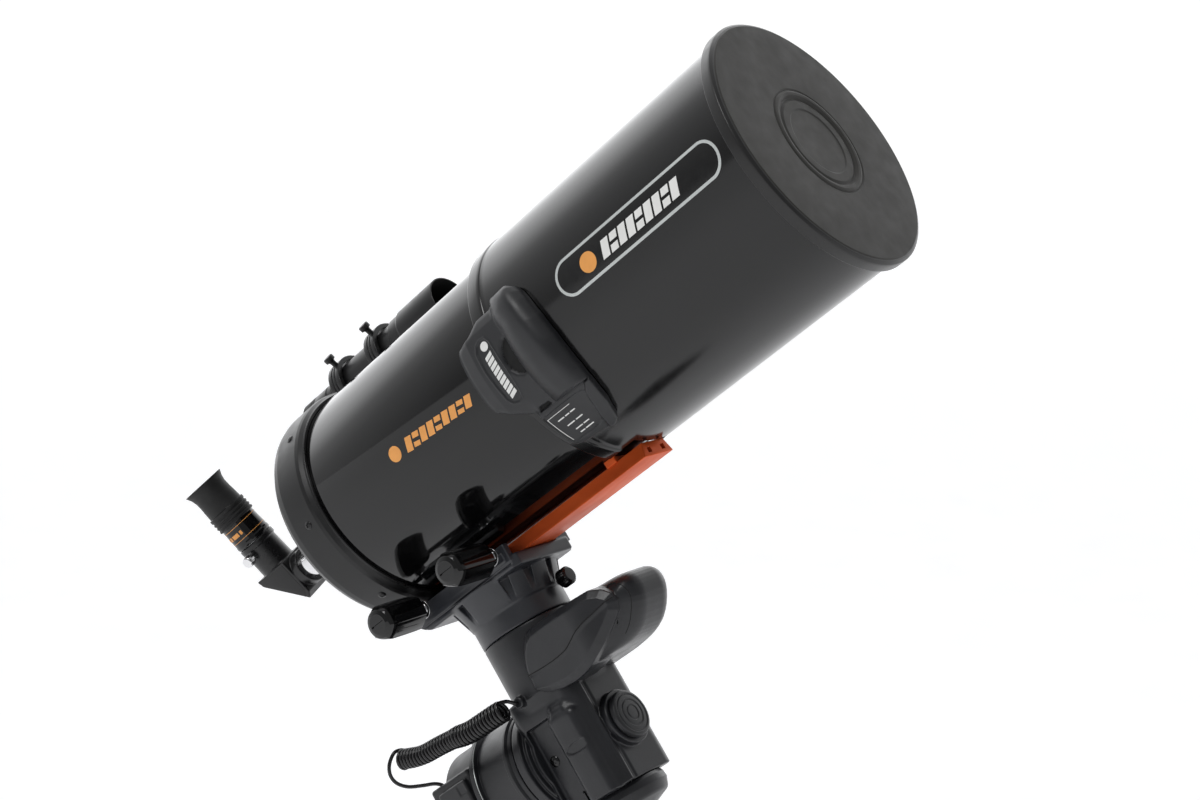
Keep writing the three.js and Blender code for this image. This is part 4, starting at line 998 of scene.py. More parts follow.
put(lathe("finder_eyepiece_visual", FIND, "x", [(-698, 13.6), (-698, 17), (-706.4, 17), (-706.4, 20.6, .6), (-710, 20.6, .4), (-711, 19.9, .3), (-712, 20.6, .4), (-726, 20.6, 1.2), (-730, 18, 1), (-730, 11, .5), (-712, 11), (-712, 13.6)],
          M["rubber"], seg=144, wobble=lambda a, r, t: r - (0.5 * (0.5 - 0.5 * math.cos(48 * t)) if -725 < a < -713 and r > 20.2 else 0)), "finder_eyepiece", "finder_eyepiece")
br = []
for s0 in (580, 644):
    br.append(lathe("finder_ring", FIND, "x", [(-s0 - 18, 27.7, .5), (-s0 - 18, 33, .8), (-s0 - 12.4, 33, .3), (-s0 - 12, 32.1, .2), (-s0 - 10.6, 32.1, .2), (-s0 - 10.2, 33, .3),
                                             (-s0 - 7.8, 33, .3), (-s0 - 7.4, 32.1, .2), (-s0 - 6, 32.1, .2), (-s0 - 5.6, 33, .3), (-s0, 33, .8), (-s0, 27.7, .5)], M["anod"], seg=160))
zz = -169.6
br.append(prism("finder_rail", FIND, "x", [(-10, 133.6 + zz), (10, 133.6 + zz), (10, 136.6 + zz), (7, 139.4 + zz), (-7, 139.4 + zz), (-10, 136.6 + zz)], -664, -578, M["anod"], bevel=0.6))
ftb = block("finder_foot", FIND, -640, -610, -11, 11, 118 + zz, 136 + zz, M["anod"], bevel=0.8)
boolean(ftb, lathe("t", FIND, "x", [(-645, 0), (-645, 123.3), (-605, 123.3), (-605, 0)], M["anod"], seg=256, offset=(0, 0, zz)))
finish_mesh(ftb.data, 35)
br.append(ftb)
for x_ in (-589, -653):
    for sgn in (1, -1):
        q = math.radians(60) * sgn
        loc = FIND @ Matrix.Translation((x_, 0, 0)) @ Matrix.Rotation(q, 4, "X")
        br.append(lathe("finder_screw", loc, "z", [(31, 0), (31, 3.1), (37.6, 3.1), (37.6, 3.6, .3), (39.0, 3.6), (39.0, 5.4, .4), (39.8, 6, .4), (44, 6, .5), (45, 5.2, .5), (45, 0)], M["anod"], seg=72,
                        wobble=lambda a, r, t: r - (0.35 * (0.5 - 0.5 * math.cos(18 * t)) if 39.5 < a < 44.2 and r > 5.6 else 0)))
        br.append(lathe("finder_screw_tip", loc, "z", [(26.0, 0), (26.0, 1.6, .4), (28.5, 2.0), (33, 2.0), (33, 0)], M["anod"], seg=24))
br = merge("finder_bracket_visual", br)
put(br, "ota", "finder_bracket")

# ------------------------------------------------------------------ star diagonal and eyepiece
I3 = ((1, 0, 0), (0, 1, 0), (0, 0, 1))
wedge = s_poly("y", [(22, 24), (-20, 24), (-26, 18), (14, -20), (22, -22)], -21, 21, rd=1.6)
body = s_union(1.2, wedge, s_cyl("x", 20, 16, 34, rd=1.0), s_cyl("z", 20, 14, 30, rd=0.6))
diag = cast("diagonal_shell", DIAG, s_cut(0.3, body, s_cyl("z", 16.3, 17, 90), s_cyl("x", 12.6, 17, 90)), (-26, -24, -29), (36, 24, 32), 0.85, M["anod"])
hold = lathe("diagonal_holder", DIAG, "z", [(26, 16.2), (26, 20.0), (50.5, 19.6, .6), (52, 21.4, .6), (57, 21.4, .6), (58, 20, .6), (58, 16.2, .4)], M["anod"], seg=144)
brl = lathe("diagonal_barrel", DIAG, "x", [(30, 12.6), (30, 15.85), (60, 15.85, .3), (60.8, 15.3, .2), (64, 15.3, .2), (64.8, 15.85, .3), (88, 15.85, .6), (88, 12.6)], M["chrome"], seg=128)
side = [prism("diagonal_side", DIAG, "y", [(20, 21), (-16, 21), (-22, 15.6), (12.5, -17), (20, -19)], y0, y1, M["cell"], bevel=0.3) for y0, y1 in ((-21.3, -20.8), (20.8, 21.3))]
tools = lathe("t", DIAG, "y", [(-30, 0), (-30, 3.1), (-10, 3.1), (-10, 0)], M["anod"], seg=24, offset=(0, 0, 46))
boolean(hold, tools)
finish_mesh(hold.data, 35)
dg = merge("diagonal_visual", [diag, hold, brl] + side)
put(dg, "diagonal", "diagonal_body")
put(lathe("diagonal_thumbscrew_visual", DIAG, "y", [(-16.6, 0), (-16.6, 2.2, .5), (-18, 2.8), (-25.2, 2.8), (-25.2, 5.2, .5), (-26, 6, .4), (-33.8, 6, .5), (-35, 5, .6), (-35, 0)], M["chrome"], seg=72, offset=(0, 0, 46),
          wobble=lambda a, r, t: r - (0.4 * (0.5 - 0.5 * math.cos(18 * t)) if -33.6 < a < -25.8 and r > 5.6 else 0)), "diagonal_thumbscrew", "diagonal_thumbscrew")
ep_prof = [(28, 12.6), (28, 15.85, .6), (58.4, 15.85), (58.4, 20.6, .5), (60.4, 21.4, .5), (62.4, 21.4, .4), (64.0, 20.9, .3), (85.6, 20.3), (86, 22.2, .4), (88.4, 22.4, .3), (89, 21.4, .2), (90.6, 21.4, .2), (91.2, 22.4, .3),
           (92.8, 22.4, .3), (93.4, 21.4, .2), (95, 21.4, .2), (95.6, 22.4, .3), (97.2, 22.4, .3), (97.8, 21.4, .2), (99.4, 21.4, .2), (100, 22.4, .3), (103.6, 22.4, .4), (104, 20.6, .3),
           (114, 20.2), (120, 19.8, 2), (127, 19.9, 3), (133, 21.2, 3), (139, 24.1, .5), (139, 22.8, .4), (132, 18.8, 2), (124, 17, 2), (112, 16.4), (112, 14), (60, 12.6)]
ep = lathe("eyepiece_shell", DIAG, "z", ep_prof, M["tube"], seg=180, steps=3, mats=[M["tube"], M["rubber"], M["chrome"], M["inside"]],
           pick=lambda a, r: 3 if r < 14.2 or (a > 112 and r < 16.6) else (2 if a < 58.5 and r < 16.2 else (1 if a > 104 or 86.5 < a < 103.5 else 0)))
rings = [lathe("eyepiece_mark", DIAG, "z", [(a, 20.5), (a, rr), (a + h, rr), (a + h, 20.0)], M["amber"], seg=120, arc=None) for a, h, rr in ((67.4, 0.5, 20.92), (82.0, 0.5, 20.52))]
bars = []
for k, (t0, t1) in enumerate(((-150, -128), (-122, -112), (-106, -80), (-74, -66))):
    bars.append(lathe("eyepiece_bar", DIAG, "z", [(72, 20.3), (72, 20.84), (76.5, 20.74), (76.5, 20.3)], M["amber"], seg=14, arc=(t0 + 6, t1 + 6)))
ep = merge("eyepiece_visual", [ep] + rings + bars)
put(ep, "eyepiece", "eyepiece")
put(lathe("eyepiece_lens_visual", DIAG, "z", [(106, 0), (106, 13.6, .3), (110, 13.6, .3), (111.2, 8), (111.5, 3), (111.6, 0)], M["glass"], seg=72), "eyepiece", "eyepiece_lens")

# ------------------------------------------------------------------ saddle, jaw and clamp knobs
cone = s_union(2.5, s_cyl("z", 49.2, 124.6, 152, rd=1.5), s_cyl("z", 50, 146, 175, rd=0.6, r1=60))
POCKETS = [math.radians(q - 90) for q in (-16, 41, 67, 97, 125, 152, 180, 207, 235, 262, 290, 317)]


def rib_field(x, y, z):
    """Tapering pockets with a flat floor, narrow at the foot of the cone and wide under the table."""
    r = np.sqrt(x * x + y * y)
    t = np.clip((z - 133) / 38, 0, 1)
    best = np.full_like(x, 1e3)
    for q in POCKETS:
        dq = np.arctan2(y, x) - q
        dq = (dq + math.pi) % (2 * math.pi) - math.pi
        best = np.minimum(best, abs(dq * r) - (0.7 + 4.4 * t))
    floor_ = (r - (50.6 + 1.4 * t)) * -1.0
    return np.maximum(np.maximum(best * 0.9, floor_), np.maximum(133.5 - z, z - 171.2))


table = s_poly("z", [(-78, -50), (60, -50), (66, -42), (66, 40), (58, 48), (-74, 48), (-80, 42), (-80, -46)], 171.2, 184.4, rd=2.0)
table = s_clip(table, lambda x, y, z: ((176.5 - z) - (x + 78) * 0.55) * 0.86)
farjaw = s_poly("x", [(26.2, 180), (24.6, 187), (21.7, 196.8), (40, 196.8), (46.8, 190), (46.8, 180)], -78, 64, rd=1.2)
nearwall = s_box((-80, -50, 178), (62, -42, 197), 1.4)
nearwall = s_cut(0.6, nearwall, s_box((20, -60, 194.2), (29.5, -30, 210), 0.8))
pad = s_box((30, -51.4, 181), (56, -44, 190), 0.9)
sad = s_cut(0.8, s_union(2.0, s_cut(0.7, cone, rib_field), table), s_box((-84, -52, 176), (70, -48.8, 178.6), 0.5))
sad = s_union(1.0, s_union(1.5, sad, farjaw, nearwall), pad)
sad = s_cut(0.4, sad, s_cyl("y", 4.3, -60, -30, off=(43, 0, 192.5)), s_cyl("y", 4.3, -60, -30, off=(-64, 0, 192.5)), s_cyl("z", 12, 110, 160))
sv = cast("saddle_visual", HEAD, sad, (-83, -60, 122.5), (69, 60, 199.5), 1.0, M["saddle_cast"])
put(sv, "dec", "saddle")
put(prism("saddle_jaw_visual", HEAD, "x", [(-25.6, 184.8), (-24.6, 187), (-21.7, 196.9), (-31, 196.9), (-36.5, 193), (-36.5, 184.8)], -76, 46, M["steel"], bevel=0.7), "saddle_jaw", "saddle_jaw")


def clamp_knob(name, x, body, node):
    def star(a, r, t):
        if r > 9 and -116 < a < -60:
            k = abs(math.sin(3 * t))
            return r - 1.5 * k ** 0.6 * min(1, (r - 9) / 7)
        return r
    k = lathe(name, HEAD, "y", [(-60.2, 0), (-60.2, 12.6, 1), (-62.5, 15.4, 1.5), (-66, 17.9, 2), (-80, 18.2), (-96, 18.2), (-110, 18.0, 1), (-114, 17.2, 2), (-117.6, 13.8, 2), (-119, 10, 1.5), (-119, 0)],
              M["knob"], seg=240, steps=6, offset=(x, 0, 192.5), wobble=star, sharp=28)
    slot_ = block("t", HEAD, x - 8.5, x + 8.5, -121, -117.4, 191.7, 193.3, M["seam"], bevel=0)
    boolean(k, slot_)
    finish_mesh(k.data, 28)
    w = lathe("washer", HEAD, "y", [(-50.4, 3.8), (-50.4, 9.5, .4), (-52, 9.5, .4), (-52, 6.4, .3), (-60.4, 6.4), (-60.4, 3.8)], M["chrome"], seg=96, offset=(x, 0, 192.5))
    s2 = lathe("shank", HEAD, "y", [(-37, 0), (-37, 3.8, .5), (-61, 3.8), (-61, 0)], M["steel"], seg=48, offset=(x, 0, 192.5))
    put(merge(name, [k, w, s2]), body, node)


clamp_knob("saddle_knob_front_visual", 43, "saddle_knob_front", "saddle_knob_front")
clamp_knob("saddle_knob_rear_visual", -64, "saddle_knob_rear", "saddle_knob_rear")
dck = lathe("dec_clutch_knob_visual", HEAD, "x", [(51.5, 0), (51.5, 3.4), (55, 3.4), (55, 7, .6), (57, 9.4, .8), (67, 9.4, .8), (69, 7, .8), (69, 0)], M["knob"], seg=144, offset=(0, 12, 146),
            wobble=lambda a, r, t: r - (0.7 * (0.5 - 0.5 * math.cos(24 * t)) if 57 < a < 67.5 and r > 9 else 0))
put(dck, "dec_clutch_knob", "dec_clutch_knob")


# ------------------------------------------------------------------ declination housing and motor pod
def s_ext(axis, d2, a0, a1, rd=0.0):
    m, h = (a0 + a1) / 2, abs(a1 - a0) / 2

    def f(x, y, z):
        p = (x, y, z)
        ia, iu, iv = AX[axis]
        q = d2(p[iu], p[iv]) + rd
        qa = abs(p[ia] - m) - h + rd
        return np.sqrt(np.maximum(q, 0) ** 2 + np.maximum(qa, 0) ** 2) + np.minimum(np.maximum(q, qa), 0) - rd
    return f


def rbox2(hu, hv, r):
    def d(u, v):
        a, b = abs(u) - hu + r, abs(v) - hv + r
        return np.sqrt(np.maximum(a, 0) ** 2 + np.maximum(b, 0) ** 2) + np.minimum(np.maximum(a, b), 0) - r
    return d


def marched(fr, f, pts, axis=1, start=-80.0, end=0.0, sink=0.12):
    """Points (two coordinates each) dropped onto the surface of f along an axis, in metres."""
    P = np.array(pts, float)
    o = [0, 1, 2]
    o.remove(axis)
    q = np.zeros((len(P), 3))
    q[:, o[0]], q[:, o[1]] = P[:, 0], P[:, 1]
    q[:, axis] = start
    sg = 1.0 if end > start else -1.0
    for _ in range(160):
        d = f(q[:, 0], q[:, 1], q[:, 2])
        q[:, axis] += sg * np.clip(d * 0.7, -0.5, 4)
    q[:, axis] += sg * sink
    return to_world(fr, q)


def dense_line(pts, step=2.0):
    out = []
    P = [np.array(p, float) for p in pts]
    for i in range(len(P) - 1):
        p0, p1, p2, p3 = P[max(i - 1, 0)], P[i], P[i + 1], P[min(i + 2, len(P) - 1)]
        n = max(2, int(np.linalg.norm(p2 - p1) / step))
        for k in range(n):
            t = k / n
            out.append(0.5 * ((2 * p1) + (-p0 + p2) * t + (2 * p0 - 5 * p1 + 4 * p2 - p3) * t * t + (-p0 + 3 * p1 - 3 * p2 + p3) * t ** 3))
    out.append(P[-1])
    return out


column = s_ext("z", rbox2(45, 45, 17), -56, 64, rd=1.6)
upper = s_union(2.0, s_cyl("z", 44, 50, 60, r1=49), s_cyl("z", DEC_R := 49, 59.5, 124, rd=1.2))
dec = s_union(5.0, column, upper)
flange = s_clip(s_union(0.6, s_cyl("x", 60, -49, -38.5, rd=1.2), s_cyl("x", 54.5, -49, -34.6, rd=0.8), s_cyl("x", 49, -49, -30.6, rd=0.8)), lambda x, y, z: -55.8 - z)
bulge = s_union(3.0, s_box((1, -51.5, -80), (38, -30, 34), 8), s_box((6, -50.2, -80), (33, -30, 41.5), 8))
bulge = s_clip(bulge, lambda x, y, z: -56.0 - z)
dec = s_union(4.0, s_union(0.8, s_cut(1.2, dec, s_box((-30.6, -80, -70), (3, -38.0, 35), 2.0)), flange), bulge)
dec = s_union(1.6, dec, s_clip(s_capsule((44.0, -30.6, -60), (44.0, -30.6, 50), 2.5), lambda x, y, z: -55.0 - z))
dec = s_cut(0.6, dec, s_box((43.8, -27.4, -80), (60, -21.5, 49), 1.0))
dec = s_cut(0.8, dec, s_clip(lambda x, y, z: (np.sqrt(((x - 23) / 15.5) ** 2 + ((z + 3.6) / 5.0) ** 2) - 1) * 4.6, lambda x, y, z: y + 50.2))
dec = s_union(1.2, dec, s_cyl("x", 28, 40, 53, rd=1.2))
dec = s_union(1.5, dec, s_cyl("y", 6, -55.5, -40, off=(-12, 0, 62), rd=2, r1=5))
dec = s_cut(0.3, dec, s_cyl("z", 30, -40, 112), s_cyl("z", 38, 111.9, 130), s_cyl("z", 38, -60, -39.9), s_cyl("x", 19.4, -60, -20), s_cyl("x", 21, 20, 60), s_box((26, -24, 62), (40.5, 24, 78)))
dec_ob = cast("dec_housing_cast", HEAD, dec, (-51.5, -61.5, -57.5), (54.5, 61.5, 125.5), 1.24, M["cast"])
parts = [dec_ob]
parts.append(cross_screw("flange_screw", HEAD, (-21.0, -38.1, -2.5), (0, -1, 0), 5.6, M["knob"], head=2.2))
low_edge = [(-46 * 0 + 49.05 * math.sin(q), -49.05 * math.cos(q), 60.2) for q in np.linspace(-1.45, 0.12, 60)]
parts.append(tube("barrel_line", to_world(HEAD, low_edge), 0.0004, M["seam"], sides=6))
dv = merge("dec_housing_visual", parts)
put(dv, "ra", "dec_housing")

# pod: broad rounded shell with a raised panel on its near face
POD_TIP = 110.4


POD = [(-30, 54), (30, 53.4), (90, 53.4)] + [tuple(p_) for p_ in dense_line([(100, 53.5), (108, 54), (118, 56), (128, 60.6), (138, 69), (146.5, 80), (150.6, 90), (151, 99), (148.2, 106.6), (141.5, 111.6), (130, 114), (115, 114.8), (95, 115.4)], 5.0)] + [(40, 117), (-30, 117)]


def pod_base(x, y, z):
    """Shell of the pod: its near side falls back towards the tip, where the edges are fully rounded."""
    d2 = poly_sd(POD, x, z)
    rd = 6.5 + 20.0 * smoothstep((x - 66) / 56)
    q = d2 + rd
    back = 11.0 * smoothstep((x - 80) / 60)
    qa = np.where(y < 2, -y - 43.0 + back, y - 46.8) + rd
    return (np.sqrt(np.maximum(q, 0) ** 2 + np.maximum(qa, 0) ** 2) + np.minimum(np.maximum(q, qa), 0) - rd) * 0.88


P_OUT = [(26.6, 110), (19, 103), (13.3, 95), (9.5, 87), (7.2, 78), (5.2, 59), (24.6, 52.2), (40, 49.6), (55.5, 48.6), (68, 49.6), (79.8, 52.2), (91, 56.8), (101.5, 62), (117.7, 72.6), (130.6, 82.5), (135.3, 91.2), (133.2, 100.3), (126, 108), (114.7, 113.5), (98, 114), (76, 114.6), (57.4, 115), (37.5, 114.6)]
P_SC = [(-20, 79.4), (6.4, 78.9), (20, 77.4), (37.4, 76.4), (52, 76.4), (66.6, 77.8), (77, 81.6), (86.5, 85.9), (98, 89.4), (110, 91.7), (125.7, 94.8), (137, 95.6), (150, 94.3)]


def pod_panel(x, y, z):
    """Raised near panel: a bevelled offset of the shell, a little lower under the curved line."""
    d0 = poly_sd(P_OUT, x, z)
    below = np.interp(x, [p[0] for p in P_SC], [p[1] for p in P_SC]) - z
    top = -(46.2 + 5.4 * np.clip(-d0 / 7.2, 0, 1) - 0.9 * smoothstep(below / 4.5) - 13.0 * smoothstep((x - 84) / 56))
    return np.maximum(np.maximum(d0, (top - y) * 0.8), y + 12)


pod = s_union(0.5, pod_base, pod_panel)
pod_solid = pod
pod = s_clip(s_clip(s_clip(pod, lambda x, y, z: 16.0 - x), lambda x, y, z: 40.0 - z), lambda x, y, z: z - 123.4)
pod = s_union(0, pod, s_clip(s_clip(s_clip(pod_panel, lambda x, y, z: 49.6 - np.sqrt(x * x + y * y)), lambda x, y, z: x - 30), lambda x, y, z: z - 123.4))
inner = s_clip(s_ext("y", lambda z, x: np.sqrt((x - np.clip(x, 52, POD_TIP - 4)) ** 2 + (z - 86) ** 2) - 24, -34, 39, rd=14), lambda x, y, z: 49.6 - np.sqrt(x * x + y * y))
pod = s_cut(0.4, pod, s_cyl("z", 49.35, 50, 140), s_ext("z", rbox2(45.5, 45.5, 17), 30, 62.6), inner)
pod_ob = cast("pod_cast", HEAD, pod, (4, -54.5, 46.5), (154, 50.5, 125.5), 0.95, M["cast"])
parts = [pod_ob]
parts.append(tube("pod_seam", marched(HEAD, pod_solid, dense_line(P_SC[1:-2] + [(133, 95.4)]), sink=0.1), 0.0006, M["seam"], sides=8))


def settled(fr, f, pts, sink=0.1):
    """Points brought to the surface of f along its own slope."""
    q = np.array(pts, float)
    for _ in range(30):
        d = f(q[:, 0], q[:, 1], q[:, 2])
        g = np.stack([f(q[:, 0] + (k == 0) * 0.2, q[:, 1] + (k == 1) * 0.2, q[:, 2] + (k == 2) * 0.2) - d for k in range(3)], 1) / 0.2
        q -= g * ((d + sink) / np.maximum((g * g).sum(1), 0.2))[:, None] * 0.7
    return to_world(fr, q)


def around(x0, q0, q1, n=60, f=None, off=0.05):
    """A line round the pod at one x, from angle q0 to q1 about its long axis."""
    out = []
    for q in np.linspace(q0, q1, n):
        d = np.array([0, -math.cos(q), math.sin(q)])
        c = np.array([x0, 0, 91.0])
        r = 60.0
        for _ in range(80):
            p = c + d * r
            r -= 0.6 * float((f or pod_solid)(np.array([p[0]]), np.array([p[1]]), np.array([p[2]]))[0])
        out.append(c + d * (r - off))
    return to_world(HEAD, out)


dome = dense_line([(122, -28, 114.6), (132, -27.2, 112.4), (140, -24.6, 104), (143.7, -22.6, 92), (141, -24, 81), (130, -26, 66), (120, -27, 59)], 1.5)
parts.append(tube("pod_end_seam", settled(HEAD, pod_solid, dome), 0.0004, M["seam"], sides=8))
parts.append(tube("pod_slot", settled(HEAD, pod_solid, dense_line([(127.5, -27, 114.3), (132, -26, 113.0), (136, -25, 110.6)], 1.0), sink=0.15), 0.0009, M["seam"], sides=8))
pv = merge("dec_motor_pod_visual", parts)
put(pv, "ra", "dec_motor_pod")

pc = lathe("polar_cap_visual", HEAD, "x", [(45, 0), (45, 20.5, .4), (53.5, 20.5), (53.5, 23.2, .5), (55, 24, .8), (59.6, 23.6, 1.4), (60.6, 20.6, .5), (59.8, 19.8, .3), (59.8, 18.8, .3), (60.6, 18, .3), (61.0, 14.6, .3), (60.2, 13.8, .3),
                                         (60.2, 12.8, .3), (61.0, 12, .3), (61.3, 8.6, .3), (60.5, 7.8, .3), (60.5, 6.8, .3), (61.4, 6, .3), (61.4, 0)], M["mould"], seg=160)
put(pc, "polar_cap", "polar_cap")
cc = lathe("collar_visual", HEAD, "z", [(-56.5, 10.4), (-56.5, 44.6, 1), (-60, 46.4, 1.5), (-66, 47, 2.5), (-76, 43, 6), (-84, 24, 5), (-90, 18, 1.5), (-90, 10.4, .4)], M["cast"], seg=200, steps=6)
put(cc, "ra", "counterweight_collar")
put(lathe("counterweight_shaft_visual", HEAD, "z", [(-54, 0), (-54, 10), (-356, 10), (-384, 10, .6), (-384, 0)], M["chrome"], seg=96), "ra", "counterweight_shaft")
cw = lathe("counterweight_cast", HEAD, "z", [(-258, 10.4), (-258, 43, 3), (-263, 49, 3.5), (-266, 50, 2), (-334, 50, 2), (-337, 49, 3.5), (-342, 43, 3), (-342, 10.4)], M["iron"], seg=200, steps=6)
boolean(cw, lathe("t", HEAD, "y", [(-70, 0), (-70, 4.4), (-5, 4.4), (-5, 0)], M["iron"], seg=32, offset=(0, 0, -300)))
finish_mesh(cw.data, 35)
put(cw, "counterweight", "counterweight")


def lobed(n, depth, a0, a1, rmin):
    return lambda a, r, t: r - (depth * (0.5 - 0.5 * math.cos(n * t)) if a0 <= a <= a1 and r > rmin else 0)


put(merge("counterweight_lock_visual", [
    lathe("lock_knob", HEAD, "y", [(-50.4, 0), (-50.4, 7, .5), (-54, 7), (-54, 12.8, .8), (-56, 14, 1), (-65, 14, 1.5), (-69, 11, 2), (-69, 0)], M["knob"], seg=180, offset=(0, 0, -300), wobble=lobed(9, 1.6, -68, -54.5, 12)),
    lathe("lock_shank", HEAD, "y", [(-11.4, 0), (-11.4, 4, .6), (-56, 4), (-56, 0)], M["steel"], seg=48, offset=(0, 0, -300))]), "counterweight_lock_knob", "counterweight_lock_knob")
put(lathe("safety_nut_visual", HEAD, "z", [(-384.4, 0), (-384.4, 18, .8), (-390, 18, .8), (-390, 12, .5), (-399, 11.6, 1.5), (-400, 10.4, 1), (-400, 0)], M["chrome"], seg=144, wobble=lobed(40, 0.6, -389.4, -385.2, 17)), "safety_nut", "safety_nut")

# ------------------------------------------------------------------ right ascension housing, cover and lever
PX, PZ = -85.0, -80.0
nose = (PX - 62 * math.sin(LAT), PZ - 62 * math.cos(LAT))
rb = lathe("ra_barrel", HEAD, "x", [(-49.7, 40.2), (-49.7, 60, .8), (-53.4, 60.8, .3), (-54.0, 59.9, .2), (-55.2, 59.9, .2), (-55.8, 60.9, .3), (-57, 62.4, .5), (-61, 62.4, .5), (-61.4, 61.8, .3), (-98.6, 61.8, .8), (-99.2, 66, .8),
                                  (-101, 67, .6), (-106, 67, .6), (-107, 66, .4), (-107, 24.2), (-76, 24.2), (-76, 40.2)], M["cast"], seg=256, steps=5)
lines = [lathe("ra_line", HEAD, "x", [(-100.6, 66.6), (-100.2, 66.96, .1), (-99.6, 66.5, .1), (-100.0, 66.0)], M["silver"], seg=256)]
body = s_union(6.0, s_cyl("y", 23.8, -39.2, 39.2, off=(PX, 0, PZ), rd=1.5), s_poly("y", [(PZ - 18, PX - 6), (PZ - 18, PX + 6), (-47, -58), (-44, -58), (-44, -104), (-47, -104)], -29.5, 29.5, rd=2.0))
body = s_union(4.0, body, s_capsule((PX, -4, PZ), (nose[0], -4, nose[1]), 13.5, 9.6))
tong = s_ext("y", lambda z, x: s_capsule((PX, 0, PZ), (nose[0], 0, nose[1]), 13.9, 9.9)(x, 0 * x, z), -13.9, 13.9, rd=1.5)
body = s_union(3.0, s_union(6.0, s_cyl("y", 23.8, -39.2, 39.2, off=(PX, 0, PZ), rd=1.5), s_poly("y", [(PZ - 18, PX - 6), (PZ - 18, PX + 6), (-50, -58), (-36, -58), (-36, -104), (-50, -104)], -29.5, 29.5, rd=2.0)), tong)
body = s_union(6.0, body, s_clip(s_clip(s_cyl("x", 61.2, -98.4, -58), lambda x, y, z: z + 30), lambda x, y, z: 45.0 - np.sqrt(y * y + z * z)))
body = s_cut(0.4, body, s_cyl("x", 40.2, -76, -40), s_cyl("x", 24.2, -120, -70), s_box((-76, -27, -50), (-58, 27, -30)), s_cyl("y", 8.3, -50, 50, off=(PX, 0, PZ)))
rbody = cast("ra_boss", HEAD, body, (-122, -44, -147), (-44, 44, -27), 1.1, M["cast"])
seat = lathe("clutch_seat", HEAD, "y", [(57.0, 8.6), (57.0, 13, .6), (61.6, 12.4, .6), (61.6, 8.6, .3)], M["cast"], seg=96, offset=(-85, 0, 8))
rh = merge("ra_housing_visual", [rb, rbody, seat] + lines)
put(rh, "altitude", "ra_housing")

drum = s_union(0, s_cyl("x", 60, -152, -107.4, rd=0.8), s_clip(lambda x, y, z: (np.sqrt(((x + 148) / 21.0) ** 2 + (y * y + z * z) / 60.0 ** 2) - 1) * 18, lambda x, y, z: x + 140))
port = s_union(2.5, s_box((-152, -66, -16), (-112, -30, 30), 3.0), s_box((-166, -58, -40), (-108, -30, 38), 3.5))
cov = s_union(2.5, drum, port)
cov = s_clip(cov, lambda x, y, z: -25.0 - z)
cov = s_clip(cov, lambda x, y, z: x + 107.4)
hollow = s_clip(s_union(0, s_cyl("x", 55, -148, -90, rd=3), s_clip(lambda x, y, z: (np.sqrt(((x + 144) / 19.0) ** 2 + (y * y + z * z) / 55.0 ** 2) - 1) * 16, lambda x, y, z: x + 140)), lambda x, y, z: -20.0 - z)
cov = s_cut(0.5, cov, hollow, s_cyl("x", 15, -200, -140), s_box((-138, -72, -4), (-126, -60.5, 12), 0.6), s_box((-150, -72, -4), (-142, -60.5, 12), 0.6),
            s_box((-124, -68, 17), (-114, -65.2, 27), 0.6))
cv = cast("ra_cover_cast", HEAD, cov, (-171, -68, -27), (-105.5, 62, 62), 1.0, M["mould"])
parts = [cv]
for y0, x0 in ((-61.0, -132), (-61.0, -146)):
    parts.append(block("port_insert", HEAD, x0 - 3, x0 + 3, -61.4, -60.2, -2, 10, M["anod"], bevel=0.3))
parts.append(block("port_pin", HEAD, -134.5, -129.5, -62.2, -61.2, 2, 6, M["silver"], bevel=0.2))
put(merge("ra_motor_cover_visual", parts), "altitude", "ra_motor_cover")
lev = cast("clutch_lever_cast", HEAD, s_union(2.0, s_cyl("y", 11, 66.6, 76, off=(-85, 0, 8), rd=1.5), s_capsule((-86, 72, 14), (-93, 73, 52), 4.6, 3.6), s_cyl("y", 7.2, 58.8, 68, off=(-85, 0, 8))), (-100, 57, -5), (-72, 78, 58), 0.8, M["chrome"])
put(lev, "ra_clutch_lever", "ra_clutch_lever")

# ------------------------------------------------------------------ azimuth base and fork (world frame, base underside at zero)
fork_disc = s_cyl("z", 60, 15.4, 35, rd=1.8)
arm2 = [(135 + 22 * math.sin(q), 22 * math.cos(q)) for q in np.linspace(math.radians(-20), math.radians(200), 22)] + [(60, -56), (17, -56), (17, 56), (60, 56)]
fork = s_union(5.0, fork_disc, s_union(0, s_poly("y", arm2, 40.2, 53.8, rd=1.6), s_poly("y", arm2, -53.8, -40.2, rd=1.6)))
fork = s_union(3.0, fork, s_box((50, -50, 30), (62, 50, 89), 2.0), s_box((-62, -50, 30), (-50, 50, 89), 2.0), s_box((40, 20, 18), (89, 34, 35), 2.0), s_box((40, -34, 18), (89, -20, 35), 2.0))
fork = s_clip(fork, lambda x, y, z: 15.4 - z)
fork = s_cut(0.3, fork, s_cyl("y", 8.3, -60, 60, off=(0, 0, 135)), s_cyl("x", 5.4, 40, 70, off=(0, 0, 77)), s_cyl("x", 5.4, -70, -40, off=(0, 0, 77)), s_cyl("y", 4.4, 10, 60, off=(77, 0, 26)), s_cyl("y", 4.4, -60, -10, off=(77, 0, 26)),
             s_cyl("z", 14.6, 10, 30.6), s_box((66, -19.9, 15), (88, 19.9, 38)), s_box((-48, -39.8, 35.4), (48, 39.8, 200)))
fo = cast("azimuth_fork_visual", BASE, fork, (-64, -62, 14), (91, 62, 159), 1.3, M["cast"])
put(fo, "azimuth", "azimuth_fork")
base = s_union(1.5, s_cyl("z", 60, 0, 15, rd=1.4), s_cyl("z", 14, 10, 30, rd=.8), s_box((48, -7, 1), (85, 7, 13), 1.5), s_cyl("z", 6, 1, 34, off=(77, 0, 0), rd=1))
